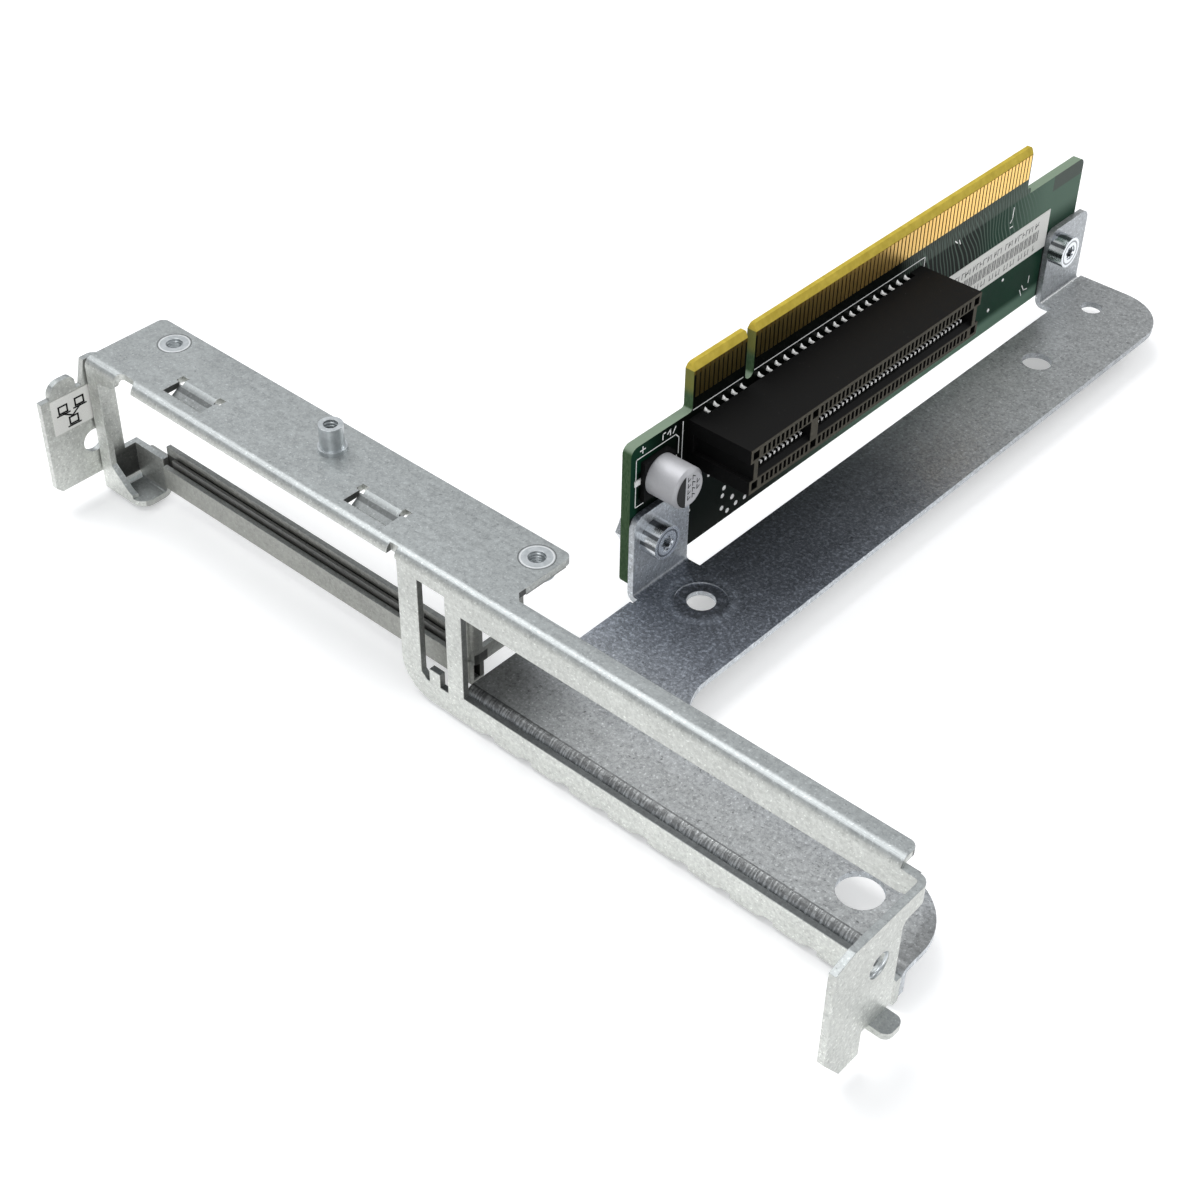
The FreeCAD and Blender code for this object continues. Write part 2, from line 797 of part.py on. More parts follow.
# Base plate and arm, one sheet: section across the front bend and outline from above.
plate_section = prism(
    "plate_section",
    "YZ",
    [
        ("gauge + strip_gauge", "plate_flange_bottom"),
        ("gauge + strip_gauge", "plate_top", "bend_out"),
        ("arm_end + 1", "plate_top"),
        ("arm_end + 1", "plate_top - gauge"),
        ("2 * gauge + strip_gauge", "plate_top - gauge", "bend_in"),
        ("2 * gauge + strip_gauge", "plate_flange_bottom"),
    ],
    "plate_left",
    "plate_right",
)
plate_above = prism(
    "plate_above",
    "XY",
    [
        ("plate_left", "0"),
        ("plate_right", "0"),
        ("plate_right", "plate_back", "plate_corner"),
        ("arm_right", "plate_back", "arm_fillet"),
        ("arm_right", "arm_end", "arm_corner"),
        ("arm_left", "arm_end"),
        ("arm_left", far_tab_front),
        ("arm_notch", far_tab_front),
        ("arm_notch", near_tab_back),
        ("arm_left", near_tab_back),
        ("arm_left", "near_tab_front"),
        ("arm_left + bend_in", "near_tab_front"),
        ("arm_left + bend_in", "near_tab_front - gauge"),
        ("arm_left", "near_tab_front - gauge"),
        ("arm_left", "plate_back", "corner_small"),
        ("plate_left", "plate_back", "corner_small"),
    ],
    "plate_flange_bottom - 1",
    "plate_top + 1",
    [
        ("plate_hole_x", "plate_hole_y", "plate_hole_dia"),
        ("hole_near_x", "hole_near_y", "hole_near_dia"),
        ("hole_mid_x", "arm_end - hole_mid_inset", "hole_mid_dia"),
        ("hole_far_x", "arm_end - hole_far_inset", "hole_far_dia"),
    ],
)


def board_tab(name, front, back, front_corner, back_corner, hole_y, hole_z):
    """An upright tab bent from the arm's edge, with its screw hole."""
    section = prism(
        name + "_section",
        "XZ",
        [
            ("0", "board_tab_top"),
            ("0", "plate_top - gauge", "bend_out"),
            ("arm_notch", "plate_top - gauge"),
            ("arm_notch", "plate_top"),
            ("gauge", "plate_top", "bend_in"),
            ("gauge", "board_tab_top"),
        ],
        front,
        back,
    )
    outline = prism(
        name + "_outline",
        "YZ",
        [
            (front, "plate_top - 2 * gauge"),
            (back, "plate_top - 2 * gauge"),
            (back, "board_tab_top", back_corner),
            (front, "board_tab_top", front_corner),
        ],
        "-1",
        "arm_notch + 1",
        [(hole_y, hole_z, "screw_dia + screw_clearance")],
    )
    return common(name, [section, outline])


near_tab = board_tab(
    "near_tab",
    "near_tab_front",
    near_tab_back,
    "board_tab_corner",
    "near_tab_corner",
    "screw_near_y",
    "screw_near_z",
)
far_tab = board_tab(
    "far_tab",
    far_tab_front,
    far_tab_back,
    "board_tab_corner",
    "board_tab_corner",
    screw_far_y,
    "screw_far_z",
)
near_centre = ("hole_near_x", "hole_near_y")
coin_outer = turned("coin_outer", 2, near_centre, "coin_dia", "plate_top - coin_depth", "plate_top + 1")
plate_blank = common("plate_blank", [plate_section, plate_above])
base_plate = cut("plate_and_arm", fuse("plate_tabs", [plate_blank, near_tab, far_tab]), coin_outer)
node(base_plate, "base_plate")

# Rail under the connector window, with the end box that hangs it from the shelf.
rail_section = prism(
    "rail_section",
    "YZ",
    [
        ("rail_front", "rail_bottom", "rail_gauge"),
        ("pocket_depth + rail_gauge", "rail_bottom", "rail_gauge"),
        ("pocket_depth + rail_gauge", "rail_back_top"),
        ("pocket_depth", "rail_back_top"),
        ("pocket_depth", "rail_bottom + rail_gauge"),
        ("rail_front + rail_gauge", "rail_bottom + rail_gauge"),
        ("rail_front + rail_gauge", "rail_front_top"),
        ("rail_front", "rail_front_top"),
    ],
    "rail_left",
    "box_face - rail_gauge / 2",
)
rail_lap = prism(
    "rail_lap",
    "XZ",
    [
        ("shelf_left + post_width + gauge", "rail_bottom + bend_out"),
        ("rail_left + gauge", "rail_bottom + bend_out"),
        ("rail_left + gauge", "rail_back_top"),
        ("pocket_right", "rail_back_top"),
        ("pocket_right", "pocket_top - bend_in"),
        ("shelf_left + post_width + gauge", "pocket_top - bend_in", "corner_small"),
    ],
    "pocket_depth",
    "pocket_depth + rail_gauge",
)
box_section = prism(
    "box_section",
    "XY",
    [
        ("box_left", "rail_front"),
        ("box_face", "rail_front", "bend_out"),
        ("box_face", "shelf_depth - box_back_inset"),
        ("box_face - rail_gauge", "shelf_depth - box_back_inset"),
        ("box_face - rail_gauge", "rail_front + rail_gauge", "bend_out - rail_gauge"),
        ("box_left", "rail_front + rail_gauge"),
    ],
    "box_bottom",
    "-gauge",
)
box_roof = prism(
    "box_roof",
    "XZ",
    [
        ("box_face - rail_gauge", "box_bottom"),
        ("box_face", "box_bottom"),
        ("box_face", "-gauge - rail_gauge", "bend_out - rail_gauge"),
        ("shelf_right - bend_in", "-gauge - rail_gauge"),
        ("shelf_right - bend_in", "-gauge"),
        ("box_face - rail_gauge", "-gauge", "bend_out"),
    ],
    "pocket_depth + rail_gauge",
    "shelf_depth - box_back_inset",
)
box_window = block(
    "box_window",
    "box_face - 2 * rail_gauge",
    "box_face + 1",
    "box_window_front",
    "box_window_front + box_window_depth",
    "box_window_bottom",
    "box_window_bottom + box_window_height",
)
stud_bracket_hole = turned(
    "stud_bracket_hole",
    2,
    ("stud_right_x", stud_y),
    "stud_dia",
    "-gauge - rail_gauge - 1",
    "-gauge + 1",
)
rail_joined = fuse("rail_joined", [rail_section, rail_lap, box_section, box_roof])
rail_bracket = cut("rail_pierced", rail_joined, fuse("rail_cuts", [box_window, stud_bracket_hole]))
node(rail_bracket, "rail_bracket")
rail_liner = block(
    "liner_strip",
    "rail_left + gauge",
    "box_left",
    "liner_front",
    "liner_front + liner_gauge",
    "rail_bottom + rail_gauge",
    "liner_top",
)
node(rail_liner, "rail_liner")

# Spring strip between the lower bar and the plate's front flange, one finger to a scallop.
comb = [("strip_left", "strip_top"), ("strip_left", "wall_bottom - finger_drop")]
for near in scallop_places:
    comb.append((near + " - finger_gap", "wall_bottom - finger_drop"))
    comb.append((near + " - finger_gap", "wall_bottom + scallop_depth"))
    comb.append((near, "wall_bottom + scallop_depth"))
    comb.append((near, "wall_bottom - finger_drop"))
comb += [("strip_right", "wall_bottom - finger_drop"), ("strip_right", "strip_top")]
spring_strip = prism("comb_strip", "XZ", comb, "gauge", "gauge + strip_gauge")
node(spring_strip, "spring_strip")

# Riser board: outline with shoulders, edge and key, and the bevel of the edge.
screw_hole = "screw_dia + screw_clearance"
board_outline = prism(
    "board_outline",
    "YZ",
    [
        ("near_tab_front", "board_bottom", "board_round"),
        (board_back, "board_bottom", "board_round"),
        (board_back, "shoulder_far", "board_round"),
        (edge_back + " + edge_relief", "shoulder_far"),
        (edge_back + " + edge_relief", "shoulder_far + edge_relief", "edge_relief / 2"),
        (edge_back, "shoulder_far + edge_relief"),
        (edge_back, "edge_top", "edge_bevel_depth"),
        (key_front + " + key_width", "edge_top", "edge_bevel_depth"),
        (key_front + " + key_width", "key_bottom", "key_width / 2 - 0.01"),
        (key_front, "key_bottom", "key_width / 2 - 0.01"),
        (key_front, "edge_top", "edge_bevel_depth"),
        ("edge_front", "edge_top", "edge_bevel_depth"),
        ("edge_front", "shoulder_near", "edge_relief / 2"),
        ("near_tab_front", "shoulder_near", "board_round"),
    ],
    "-board_thickness - 1",
    "1",
    [
        ("screw_near_y", "screw_near_z", screw_hole),
        (screw_far_y, "screw_far_z", screw_hole),
    ],
)
board_section = prism(
    "board_section",
    "XZ",
    [
        ("-board_thickness", "board_bottom - 1"),
        ("0", "board_bottom - 1"),
        ("0", "edge_top - edge_bevel_drop"),
        ("-edge_bevel_depth", "edge_top"),
        ("edge_bevel_depth - board_thickness", "edge_top"),
        ("-board_thickness", "edge_top - edge_bevel_drop"),
    ],
    "near_tab_front - 1",
    board_back + " + 1",
)
riser_board = common("board_solid", [board_outline, board_section])
node(riser_board, "riser_board")

# Gold contacts: eleven before the key and seventy-one after it, on each face.
pad_starts = []
for start, room in (
    ("edge_front", "key_start"),
    (key_front + " + key_width", "edge_length - key_start - key_width"),
):
    count = int(value("(%s) / pad_pitch" % room))
    margin = "(%s - %d * pad_pitch) / 2" % (room, count - 1)
    for step in range(count):
        pad_starts.append("%s + %s + %d * pad_pitch - pad_width / 2" % (start, margin, step))
for side, low, high in (
    ("front", "0", "pad_thickness"),
    ("back", "-board_thickness - pad_thickness", "-board_thickness"),
):
    pads = []
    for number, start in enumerate(pad_starts):
        pad_name = "pad_%s_%02d" % (side, number)
        pads.append(block(pad_name, low, high, start, start + " + pad_width", "pad_bottom", "pad_top"))
    node(group("pads_" + side, pads), "edge_contacts_" + side)

# Card slot: a housing that stands off the board on two feet, open towards +x.
slot_face = "slot_standoff + slot_reach"
slot_low = "slot_centre_z - slot_height / 2"
slot_high = "slot_centre_z + slot_height / 2"
slot_back = "slot_front + slot_length"
recess_low = "slot_centre_z - slot_end_recess_height / 2"
recess_high = "slot_centre_z + slot_end_recess_height / 2"
housing_outline = prism(
    "housing_outline",
    "YZ",
    [
        ("slot_front", slot_low),
        (slot_back, slot_low),
        (slot_back, recess_low),
        (slot_back + " - slot_end_recess", recess_low),
        (slot_back + " - slot_end_recess", recess_high),
        (slot_back, recess_high),
        (slot_back, slot_high),
        ("slot_front", slot_high),
        ("slot_front", recess_high),
        ("slot_front + slot_end_recess", recess_high),
        ("slot_front + slot_end_recess", recess_low),
        ("slot_front", recess_low),
    ],
    "slot_standoff",
    slot_face,
)
foot_near = block(
    "foot_near", "0", "slot_standoff", "slot_front", "slot_front + slot_foot_length", slot_low, slot_high
)
foot_far = block(
    "foot_far", "0", "slot_standoff", slot_back + " - slot_foot_length", slot_back, slot_low, slot_high
)
mouth_low = "slot_centre_z - slot_mouth / 2"
mouth_high = "slot_centre_z + slot_mouth / 2"
mouth_near = block(
    "mouth_near",
    slot_face + " - slot_mouth_depth",
    slot_face + " + 1",
    "slot_front + slot_end_wall",
    "slot_front + slot_key_start",
    mouth_low,
    mouth_high,
)
mouth_far = block(
    "mouth_far",
    slot_face + " - slot_mouth_depth",
    slot_face + " + 1",
    "slot_front + slot_key_start + slot_key_length",
    slot_back + " - slot_end_wall",
    mouth_low,
    mouth_high,
)
lead_ins = []
for name, front, back in (
    ("lead_near", "slot_front + slot_end_wall", "slot_front + slot_key_start"),
    ("lead_far", "slot_front + slot_key_start + slot_key_length", slot_back + " - slot_end_wall"),
):
    flare = [
        (slot_face + " - slot_lead_in", mouth_low),
        (slot_face, mouth_low + " - slot_lead_in"),
        (slot_face, mouth_high + " + slot_lead_in"),
        (slot_face + " - slot_lead_in", mouth_high),
    ]
    lead_ins.append(prism(name, "XZ", flare, front, back))

# One chamber to a contact on both sides of the mouth: those before the key are counted
# back from it and those after it are counted on.
key_end = "slot_front + slot_key_start + slot_key_length"
before_key = int(value("(slot_key_start - spring_key_gap - spring_margin) / pad_pitch") + 1.01)
room_after = "slot_length - spring_margin - slot_key_start - slot_key_length - spring_key_gap"
after_key = int(value("(%s) / pad_pitch" % room_after) + 1.01)
contact_centres = []
for step in range(before_key - 1, -1, -1):
    contact_centres.append("slot_front + slot_key_start - spring_key_gap - %d * pad_pitch" % step)
for step in range(after_key):
    contact_centres.append("%s + spring_key_gap + %d * pad_pitch" % (key_end, step))
windows = []
for centre in contact_centres:
    windows.append((centre + " - chamber_width / 2", centre + " + chamber_width / 2"))
end_front = "slot_front + end_chamber_inset"
end_back = slot_back + " - end_chamber_inset"
key_centre = "slot_front + slot_key_start + slot_key_length / 2"
windows.append((end_front, end_front + " + end_chamber_width"))
windows.append((end_back + " - end_chamber_width", end_back))
windows.append((key_centre + " - end_chamber_width / 2", key_centre + " + end_chamber_width / 2"))
chambers = []
for number, (front, back) in enumerate(windows):
    for row_name, low, high in (
        ("upper", "slot_centre_z + chamber_inner", slot_high + " - chamber_rim"),
        ("lower", slot_low + " + chamber_rim", "slot_centre_z - chamber_inner"),
    ):
        chamber_name = "chamber_%s_%02d" % (row_name, number)
        inner = slot_face + " - chamber_depth"
        chambers.append(block(chamber_name, inner, slot_face + " + 1", front, back, low, high))
housing_solid = fuse("housing_solid", [housing_outline, foot_near, foot_far])
openings = fuse("slot_openings", [mouth_near, mouth_far] + lead_ins + chambers)
slot_housing = cut("housing_open", housing_solid, openings)
node(slot_housing, "slot_housing")

# Slot springs, one to a chamber, in two rows inside the mouth.
spring_starts = [centre + " - spring_width / 2" for centre in contact_centres]
spring_tip = slot_face + " - spring_inset"
for row_name, low, high in (
    ("upper", mouth_high + " - spring_rise", mouth_high),
    ("lower", mouth_low, mouth_low + " + spring_rise"),
):
    springs = []
    for number, start in enumerate(spring_starts):
        spring_name = "spring_%s_%02d" % (row_name, number)
        front = spring_tip + " - spring_length"
        springs.append(block(spring_name, front, spring_tip, start, start + " + spring_width", low, high))
    node(group("springs_" + row_name, springs), "slot_springs_" + row_name)

# Solder tails along both long sides of the slot, on every second contact but the key's.
tail_count = int(value("(slot_length - 2 * tail_margin) / tail_pitch")) + 1
tail_key = round(value("(slot_key_start - tail_margin) / tail_pitch"))
tails = []
for step in range(tail_count):
    if step == tail_key:
        continue
    start = "slot_front + tail_margin + %d * tail_pitch - tail_width / 2" % step
    stop = start + " + tail_width"
    upper = slot_high + " - tail_inset"
    lower = slot_low + " + tail_inset"
    up_name = "tail_up_%02d" % step
    down_name = "tail_down_%02d" % step
    tails.append(block(up_name, "0", "slot_standoff", start, stop, upper + " - tail_thickness", upper))
    tails.append(block(down_name, "0", "slot_standoff", start, stop, lower, lower + " + tail_thickness"))
slot_tails = group("tail_bars", tails)
node(slot_tails, "slot_tails")


def lathe(name, axis, centre, profile):
    """A turned piece. The profile is (distance along the axis, radius)."""
    plane = {0: "XY", 2: "XZ"}[axis]
    third = {0: 2, 2: 1}[axis]
    outline = []
    for along, radius in profile:
        if axis == 0:
            outline.append((along, "%s + %s" % (centre[0], radius)))
        else:
            outline.append(("%s + %s" % (centre[0], radius), along))
    base = sketch(name + "_profile", plane, outline, centre[1])
    body = doc.addObject("Part::Revolution", name)
    body.Source = base
    body.Axis = AXES[axis]
    body.Angle = 360
    body.Solid = True
    first = 1 if axis == 0 else 0
    body.setExpression("Base." + "xyz"[first], bound("(%s) - (%s)" % (centre[0], ORIGIN[first])))
    body.setExpression("Base." + "xyz"[third], bound("(%s) - (%s)" % (centre[1], ORIGIN[third])))
    return body


# Capacitor: round can on a square base, with two flat leads.
can_base = prism(
    "can_base",
    "YZ",
    [
        ("can_y - can_base_size / 2", "can_z - can_base_size / 2"),
        ("can_y + can_base_size / 2 - corner_small", "can_z - can_base_size / 2"),
        ("can_y + can_base_size / 2", "can_z - can_base_size / 2 + corner_small"),
        ("can_y + can_base_size / 2", "can_z + can_base_size / 2 - corner_small"),
        ("can_y + can_base_size / 2 - corner_small", "can_z + can_base_size / 2"),
        ("can_y - can_base_size / 2", "can_z + can_base_size / 2"),
    ],
    "can_lead_thickness",
    "can_base_height",
)
node(can_base, "capacitor_base")
can = lathe(
    "can_body",
    0,
    ("can_y", "can_z"),
    [
        ("can_base_height", "0"),
        ("can_base_height", "can_dia / 2"),
        ("can_base_height + can_length - can_round", "can_dia / 2"),
        ("can_base_height + can_length", "can_dia / 2 - can_round"),
        ("can_base_height + can_length", "0"),
    ],
)
node(can, "capacitor_can")
leads = []
for name, low, high in (
    ("lead_front", "can_y - can_base_size / 2 - can_lead_length", "can_y - can_lead_length"),
    ("lead_back", "can_y + can_lead_length", "can_y + can_base_size / 2 + can_lead_length"),
):
    low_z = "can_z - can_lead_width / 2"
    leads.append(block(name, "0", "can_lead_thickness", low, high, low_z, "can_z + can_lead_width / 2"))
node(group("leads", leads), "capacitor_leads")

# Screws through tab and board into nuts behind the board.
screws = []
nuts = []
for side, y_text, z_text in (
    ("near", "screw_near_y", "screw_near_z"),
    ("far", screw_far_y, "screw_far_z"),
):
    screw = lathe(
        "screw_body_" + side,
        0,
        (y_text, z_text),
        [
            ("-board_thickness - nut_height - screw_tip", "0"),
            ("-board_thickness - nut_height - screw_tip", "screw_dia / 2"),
            ("gauge", "screw_dia / 2"),
            ("gauge", "screw_head_dia / 2"),
            ("gauge + screw_head_height", "screw_head_dia / 2"),
            ("gauge + screw_head_height", "screw_socket_dia / 2"),
            ("gauge + screw_head_height - screw_socket_depth", "screw_socket_dia / 2"),
            ("gauge + screw_head_height - screw_socket_depth", "0"),
        ],
    )
    screws.append(screw)
    flats = []
    for step in range(6):
        reach = "nut_across / 1.7320508"
        angle = math.radians(60 * step)
        flats.append(
            (
                "%s + %.7f * %s" % (y_text, math.cos(angle), reach),
                "%s + %.7f * %s" % (z_text, math.sin(angle), reach),
            )
        )
    nut = prism(
        "nut_body_" + side,
        "YZ",
        flats,
        "-board_thickness - nut_height",
        "-board_thickness",
        [(y_text, z_text, "screw_dia")],
    )
    nuts.append(nut)
node(group("screw_pair", screws), "board_screws")
node(group("nut_pair", nuts), "board_nuts")

# Threaded studs set flush in the shelf, and the boss that stands on it.
studs = []
for side, x_text in (("left", "stud_left_x"), ("right", "stud_right_x")):
    stud = lathe(
        "stud_body_" + side,
        2,
        (x_text, stud_y),
        [
            ("-gauge - stud_drop", "stud_bore / 2"),
            ("-gauge - stud_drop", "stud_dia / 2"),
            ("0", "stud_dia / 2"),
            ("0", "stud_bore / 2"),
        ],
    )
    studs.append(stud)
node(group("stud_pair", studs), "shelf_studs")
boss = lathe(
    "boss_body",
    2,
    ("boss_x", boss_y),
    [
        ("-gauge", "0"),
        ("-gauge", "boss_dia / 2"),
        ("0", "boss_dia / 2"),
        ("0", "boss_collar_dia / 2"),
        ("boss_collar_height", "boss_collar_dia / 2"),
        ("boss_collar_height", "boss_dia / 2"),
        ("boss_height", "boss_dia / 2"),
        ("boss_height", "boss_bore / 2"),
        ("boss_height - boss_bore_depth", "boss_bore / 2"),
        ("boss_height - boss_bore_depth", "0"),
    ],
)
node(boss, "guide_boss")

# Labels: thin stickers on the board and on the left flange.
board_label = block(
    "board_sticker",
    "0",
    "label_thickness",
    slot_back + " + board_label_gap",
    far_tab_front + " - board_label_end_gap",
    "board_label_top - board_label_height",
    "board_label_top",
)
node(board_label, "board_label")
flange_label = block(
    "flange_sticker",
    "flange_face",
    "flange_face + label_thickness",
    "flange_label_front",
    "flange_label_back",
    "flange_label_top - flange_label_height",
    "flange_label_top",
)
node(flange_label, "flange_label")

doc.recompute()
for item in doc.Objects:
    if any(word in item.State for word in ("Invalid", "Error")):
        raise RuntimeError("%s did not build: %s" % (item.Label, item.State))
    if hasattr(item, "Shape") and not item.isDerivedFrom("Sketcher::SketchObject"):
        if item.Shape.isNull() or not item.Shape.isValid():
            raise RuntimeError("%s has no valid shape" % item.Label)

os.makedirs("parts", exist_ok=True)
for item in NODES:
    item.Shape.exportStep("parts/%s.step" % item.Label)
    box = item.Shape.BoundBox
    print(
        "%-22s solids %3d volume %9.1f  x %7.2f %7.2f  y %7.2f %7.2f  z %7.2f %7.2f"
        % (
            item.Label,
            len(item.Shape.Solids),
            item.Shape.Volume,
            box.XMin,
            box.XMax,
            box.YMin,
            box.YMax,
            box.ZMin,
            box.ZMax,
        )
    )
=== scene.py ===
# %% [markdown]
# # A riser card on its sheet-metal carrier
#
# This file dresses a imported CAD model in Blender. The CAD model already holds every
# piece at its real size, so nothing here moves or scales it. What is added is what the
# eye reads first: the grain of zinc plating, the gold of edge fingers, solder, printed
# marks, recesses in screws and the light that all of it sits in.
#
# The first step loads the model.

# %% Load the imported model
import bmesh
import bpy
import math
from mathutils import Matrix, Vector


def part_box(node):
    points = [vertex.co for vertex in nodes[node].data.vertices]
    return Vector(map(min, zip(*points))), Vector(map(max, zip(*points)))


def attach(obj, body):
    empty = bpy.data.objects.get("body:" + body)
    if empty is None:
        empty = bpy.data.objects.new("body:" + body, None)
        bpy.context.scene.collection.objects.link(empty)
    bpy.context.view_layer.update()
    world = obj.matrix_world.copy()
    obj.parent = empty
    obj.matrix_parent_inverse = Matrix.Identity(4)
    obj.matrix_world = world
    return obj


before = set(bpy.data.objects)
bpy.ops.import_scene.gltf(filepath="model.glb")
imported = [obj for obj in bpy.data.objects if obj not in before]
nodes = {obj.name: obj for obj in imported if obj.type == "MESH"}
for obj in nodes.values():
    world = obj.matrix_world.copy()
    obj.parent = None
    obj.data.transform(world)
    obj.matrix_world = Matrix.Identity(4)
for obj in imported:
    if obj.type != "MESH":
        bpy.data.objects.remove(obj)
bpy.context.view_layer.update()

MM = 0.001
print("nodes:", len(nodes))

# %% [markdown]
# ## Where the surfaces are
#
# The pieces that are added sit on faces of the CAD nodes. The corners of a node's box
# give those faces: the top of the shelf, the slot side of the board, the ends of the
# screws. Added pieces are measured from them in millimetres. Soft shades on a sheet or on
# the board are plain places in the frame of the part, also in millimetres.
#
# A few values are in no box and are given as in the CAD source: the thickness of the
# sheets, the front of the slot wall, and the outer sizes of one stud and one screw. The
# origin of the part is the centre of the locating hole in the arm.

# %% Faces that carry added pieces
board_low, board_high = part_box("riser_board")
frame_low, frame_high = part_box("front_frame")
stud_low, stud_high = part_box("shelf_studs")
label_low, label_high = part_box("board_label")
flange_low, flange_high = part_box("flange_label")
can_low, can_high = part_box("capacitor_can")
boss_low, boss_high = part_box("guide_boss")
screws_low, screws_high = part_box("board_screws")
tails_low, tails_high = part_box("slot_tails")
plate_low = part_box("base_plate")[0]
housing_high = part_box("slot_housing")[1]
springs_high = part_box("slot_springs_upper")[1]
lowest = min(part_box(name)[0][2] for name in nodes)
gauge = 1.0
wall_front = -37.2
board_face = board_high[0] / MM
board_front = board_low[1] / MM
board_floor = board_low[2] / MM
board_top = board_high[2] / MM
shelf_top = stud_high[2] / MM
print("board face x %.2f mm, shelf top z %.2f mm" % (board_face, shelf_top))

# %% Places of the round parts
near_hole = (0.0, 0.0)
stud_radius = 4.9 / 2
stud_y = (stud_low[1] + stud_high[1]) / 2 / MM
stud_spots = [(stud_low[0] / MM + stud_radius, stud_y), (stud_high[0] / MM - stud_radius, stud_y)]
screw_reach = 5.4 / 2
screw_spots = [
    (screws_low[1] / MM + screw_reach, screws_low[2] / MM + screw_reach),
    (screws_high[1] / MM - screw_reach, screws_high[2] / MM - screw_reach),
]
print("studs:", len(stud_spots), "screws:", len(screw_spots))

# %% [markdown]
# ## Camera
#
# The photograph was taken from above the open corner of the frame, with a lens that is
# a little longer than normal. The view is given as three turns: the heading from the
# wall towards the arm, the pitch down to the object and a slight roll of the camera.
# These turns, the lens and the place were solved from corners in the photograph.

# %% Camera at the photograph's angle
heading = math.radians(41.183)
pitch = math.radians(40.398)
roll = math.radians(1.010)
look = Vector((-math.sin(heading) * math.cos(pitch), math.cos(heading) * math.cos(pitch), -math.sin(pitch)))
level = Vector((math.cos(heading), math.sin(heading), 0.0))
lift = level.cross(look)
right = level * math.cos(roll) + lift * math.sin(roll)
upward = lift * math.cos(roll) - level * math.sin(roll)
camera_data = bpy.data.cameras.new("photo_camera")
camera_place = (0.13444, -0.17560, 0.18841)
camera_data.lens = 60.91
camera_data.sensor_width = 36.0
camera_data.clip_start = 0.01
camera = bpy.data.objects.new("photo_camera", camera_data)
bpy.context.scene.collection.objects.link(camera)
turn = Matrix((right, upward, -look)).transposed().to_4x4()
camera.matrix_world = Matrix.Translation(camera_place) @ turn
bpy.context.scene.camera = camera
print("camera looks along", [round(v, 3) for v in look])

# %% [markdown]
# ## Shader expressions
#
# A procedural finish is arithmetic on textures. Written node by node it is hard to read,
# so one small class wraps a socket and gives it the usual operators. A value goes
# through Math nodes. A colour or a vector goes through Mix and Vector Math, because a
# Math node would turn it grey.

# %% A socket with operators
class Wire:
    """One output of a shader graph that can be used in an expression."""

    def __init__(self, graph, socket):
        self.graph = graph
        self.socket = socket

    def _pair(self, operation, first, second):
        kind = "ShaderNodeMath" if self.socket.type == "VALUE" else "ShaderNodeVectorMath"
        return self.graph.node(kind, {"operation": operation}, {0: first, 1: second})

    def _math(self, operation):
        return self.graph.node("ShaderNodeMath", {"operation": operation}, {0: self})

    def __add__(self, other):
        return self._pair("ADD", self, other)

    __radd__ = __add__

    def __sub__(self, other):
        return self._pair("SUBTRACT", self, other)

    def __rsub__(self, other):
        return self._pair("SUBTRACT", other, self)

    def __mul__(self, other):
        return self._pair("MULTIPLY", self, other)

    __rmul__ = __mul__

    def power(self, other):
        return self._pair("POWER", self, other)

    def least(self, other):
        return self._pair("MINIMUM", self, other)

    def size(self):
        return self._math("ABSOLUTE")

    def fraction(self):
        return self._math("FRACT")

    def step(self, low, high):
        """0 below low, 1 above high and smooth between them."""
        return self.graph.node(
            "ShaderNodeMapRange",
            {"interpolation_type": "SMOOTHSTEP"},
            {"Value": self, "From Min": low, "From Max": high},
            "Result",
        )

    def between(self, low, high, soft):
        """1 from low to high, with edges that fade over the distance soft."""
        return self.step(low - soft, low) * (1 - self.step(high, high + soft))


# %% A graph that makes any node
class Graph:
    """A node tree whose nodes are all made by one method."""

    def __init__(self, tree):
        self.tree = tree

    def node(self, kind, settings=None, inputs=None, output=0):
        """Any node: its settings first, then values or links for its sockets."""
        made = self.tree.nodes.new(kind)
        for key, setting in (settings or {}).items():
            setattr(made, key, setting)
        for key, source in (inputs or {}).items():
            self.join(made.inputs[key], source)
        return Wire(self, made.outputs[output])

    def join(self, socket, source):
        """Link an expression to a socket, or set the socket to a plain value."""
        if isinstance(source, Wire):
            self.tree.links.new(source.socket, socket)
        elif socket.type == "RGBA" and len(source) == 3:
            socket.default_value = (*source, 1.0)
        else:
            socket.default_value = source

    def parts(self, vector):
        """The three parts of a vector."""
        split = self.node("ShaderNodeSeparateXYZ", None, {0: vector}, "X")
        sockets = split.socket.node.outputs
        return [Wire(self, sockets[axis]) for axis in "XYZ"]


# %% A finish that is built from expressions
# The Mix node has sockets for each type of value, and these are the ones for colours.
COLOUR_A, COLOUR_B, COLOUR_RESULT = 6, 7, 2


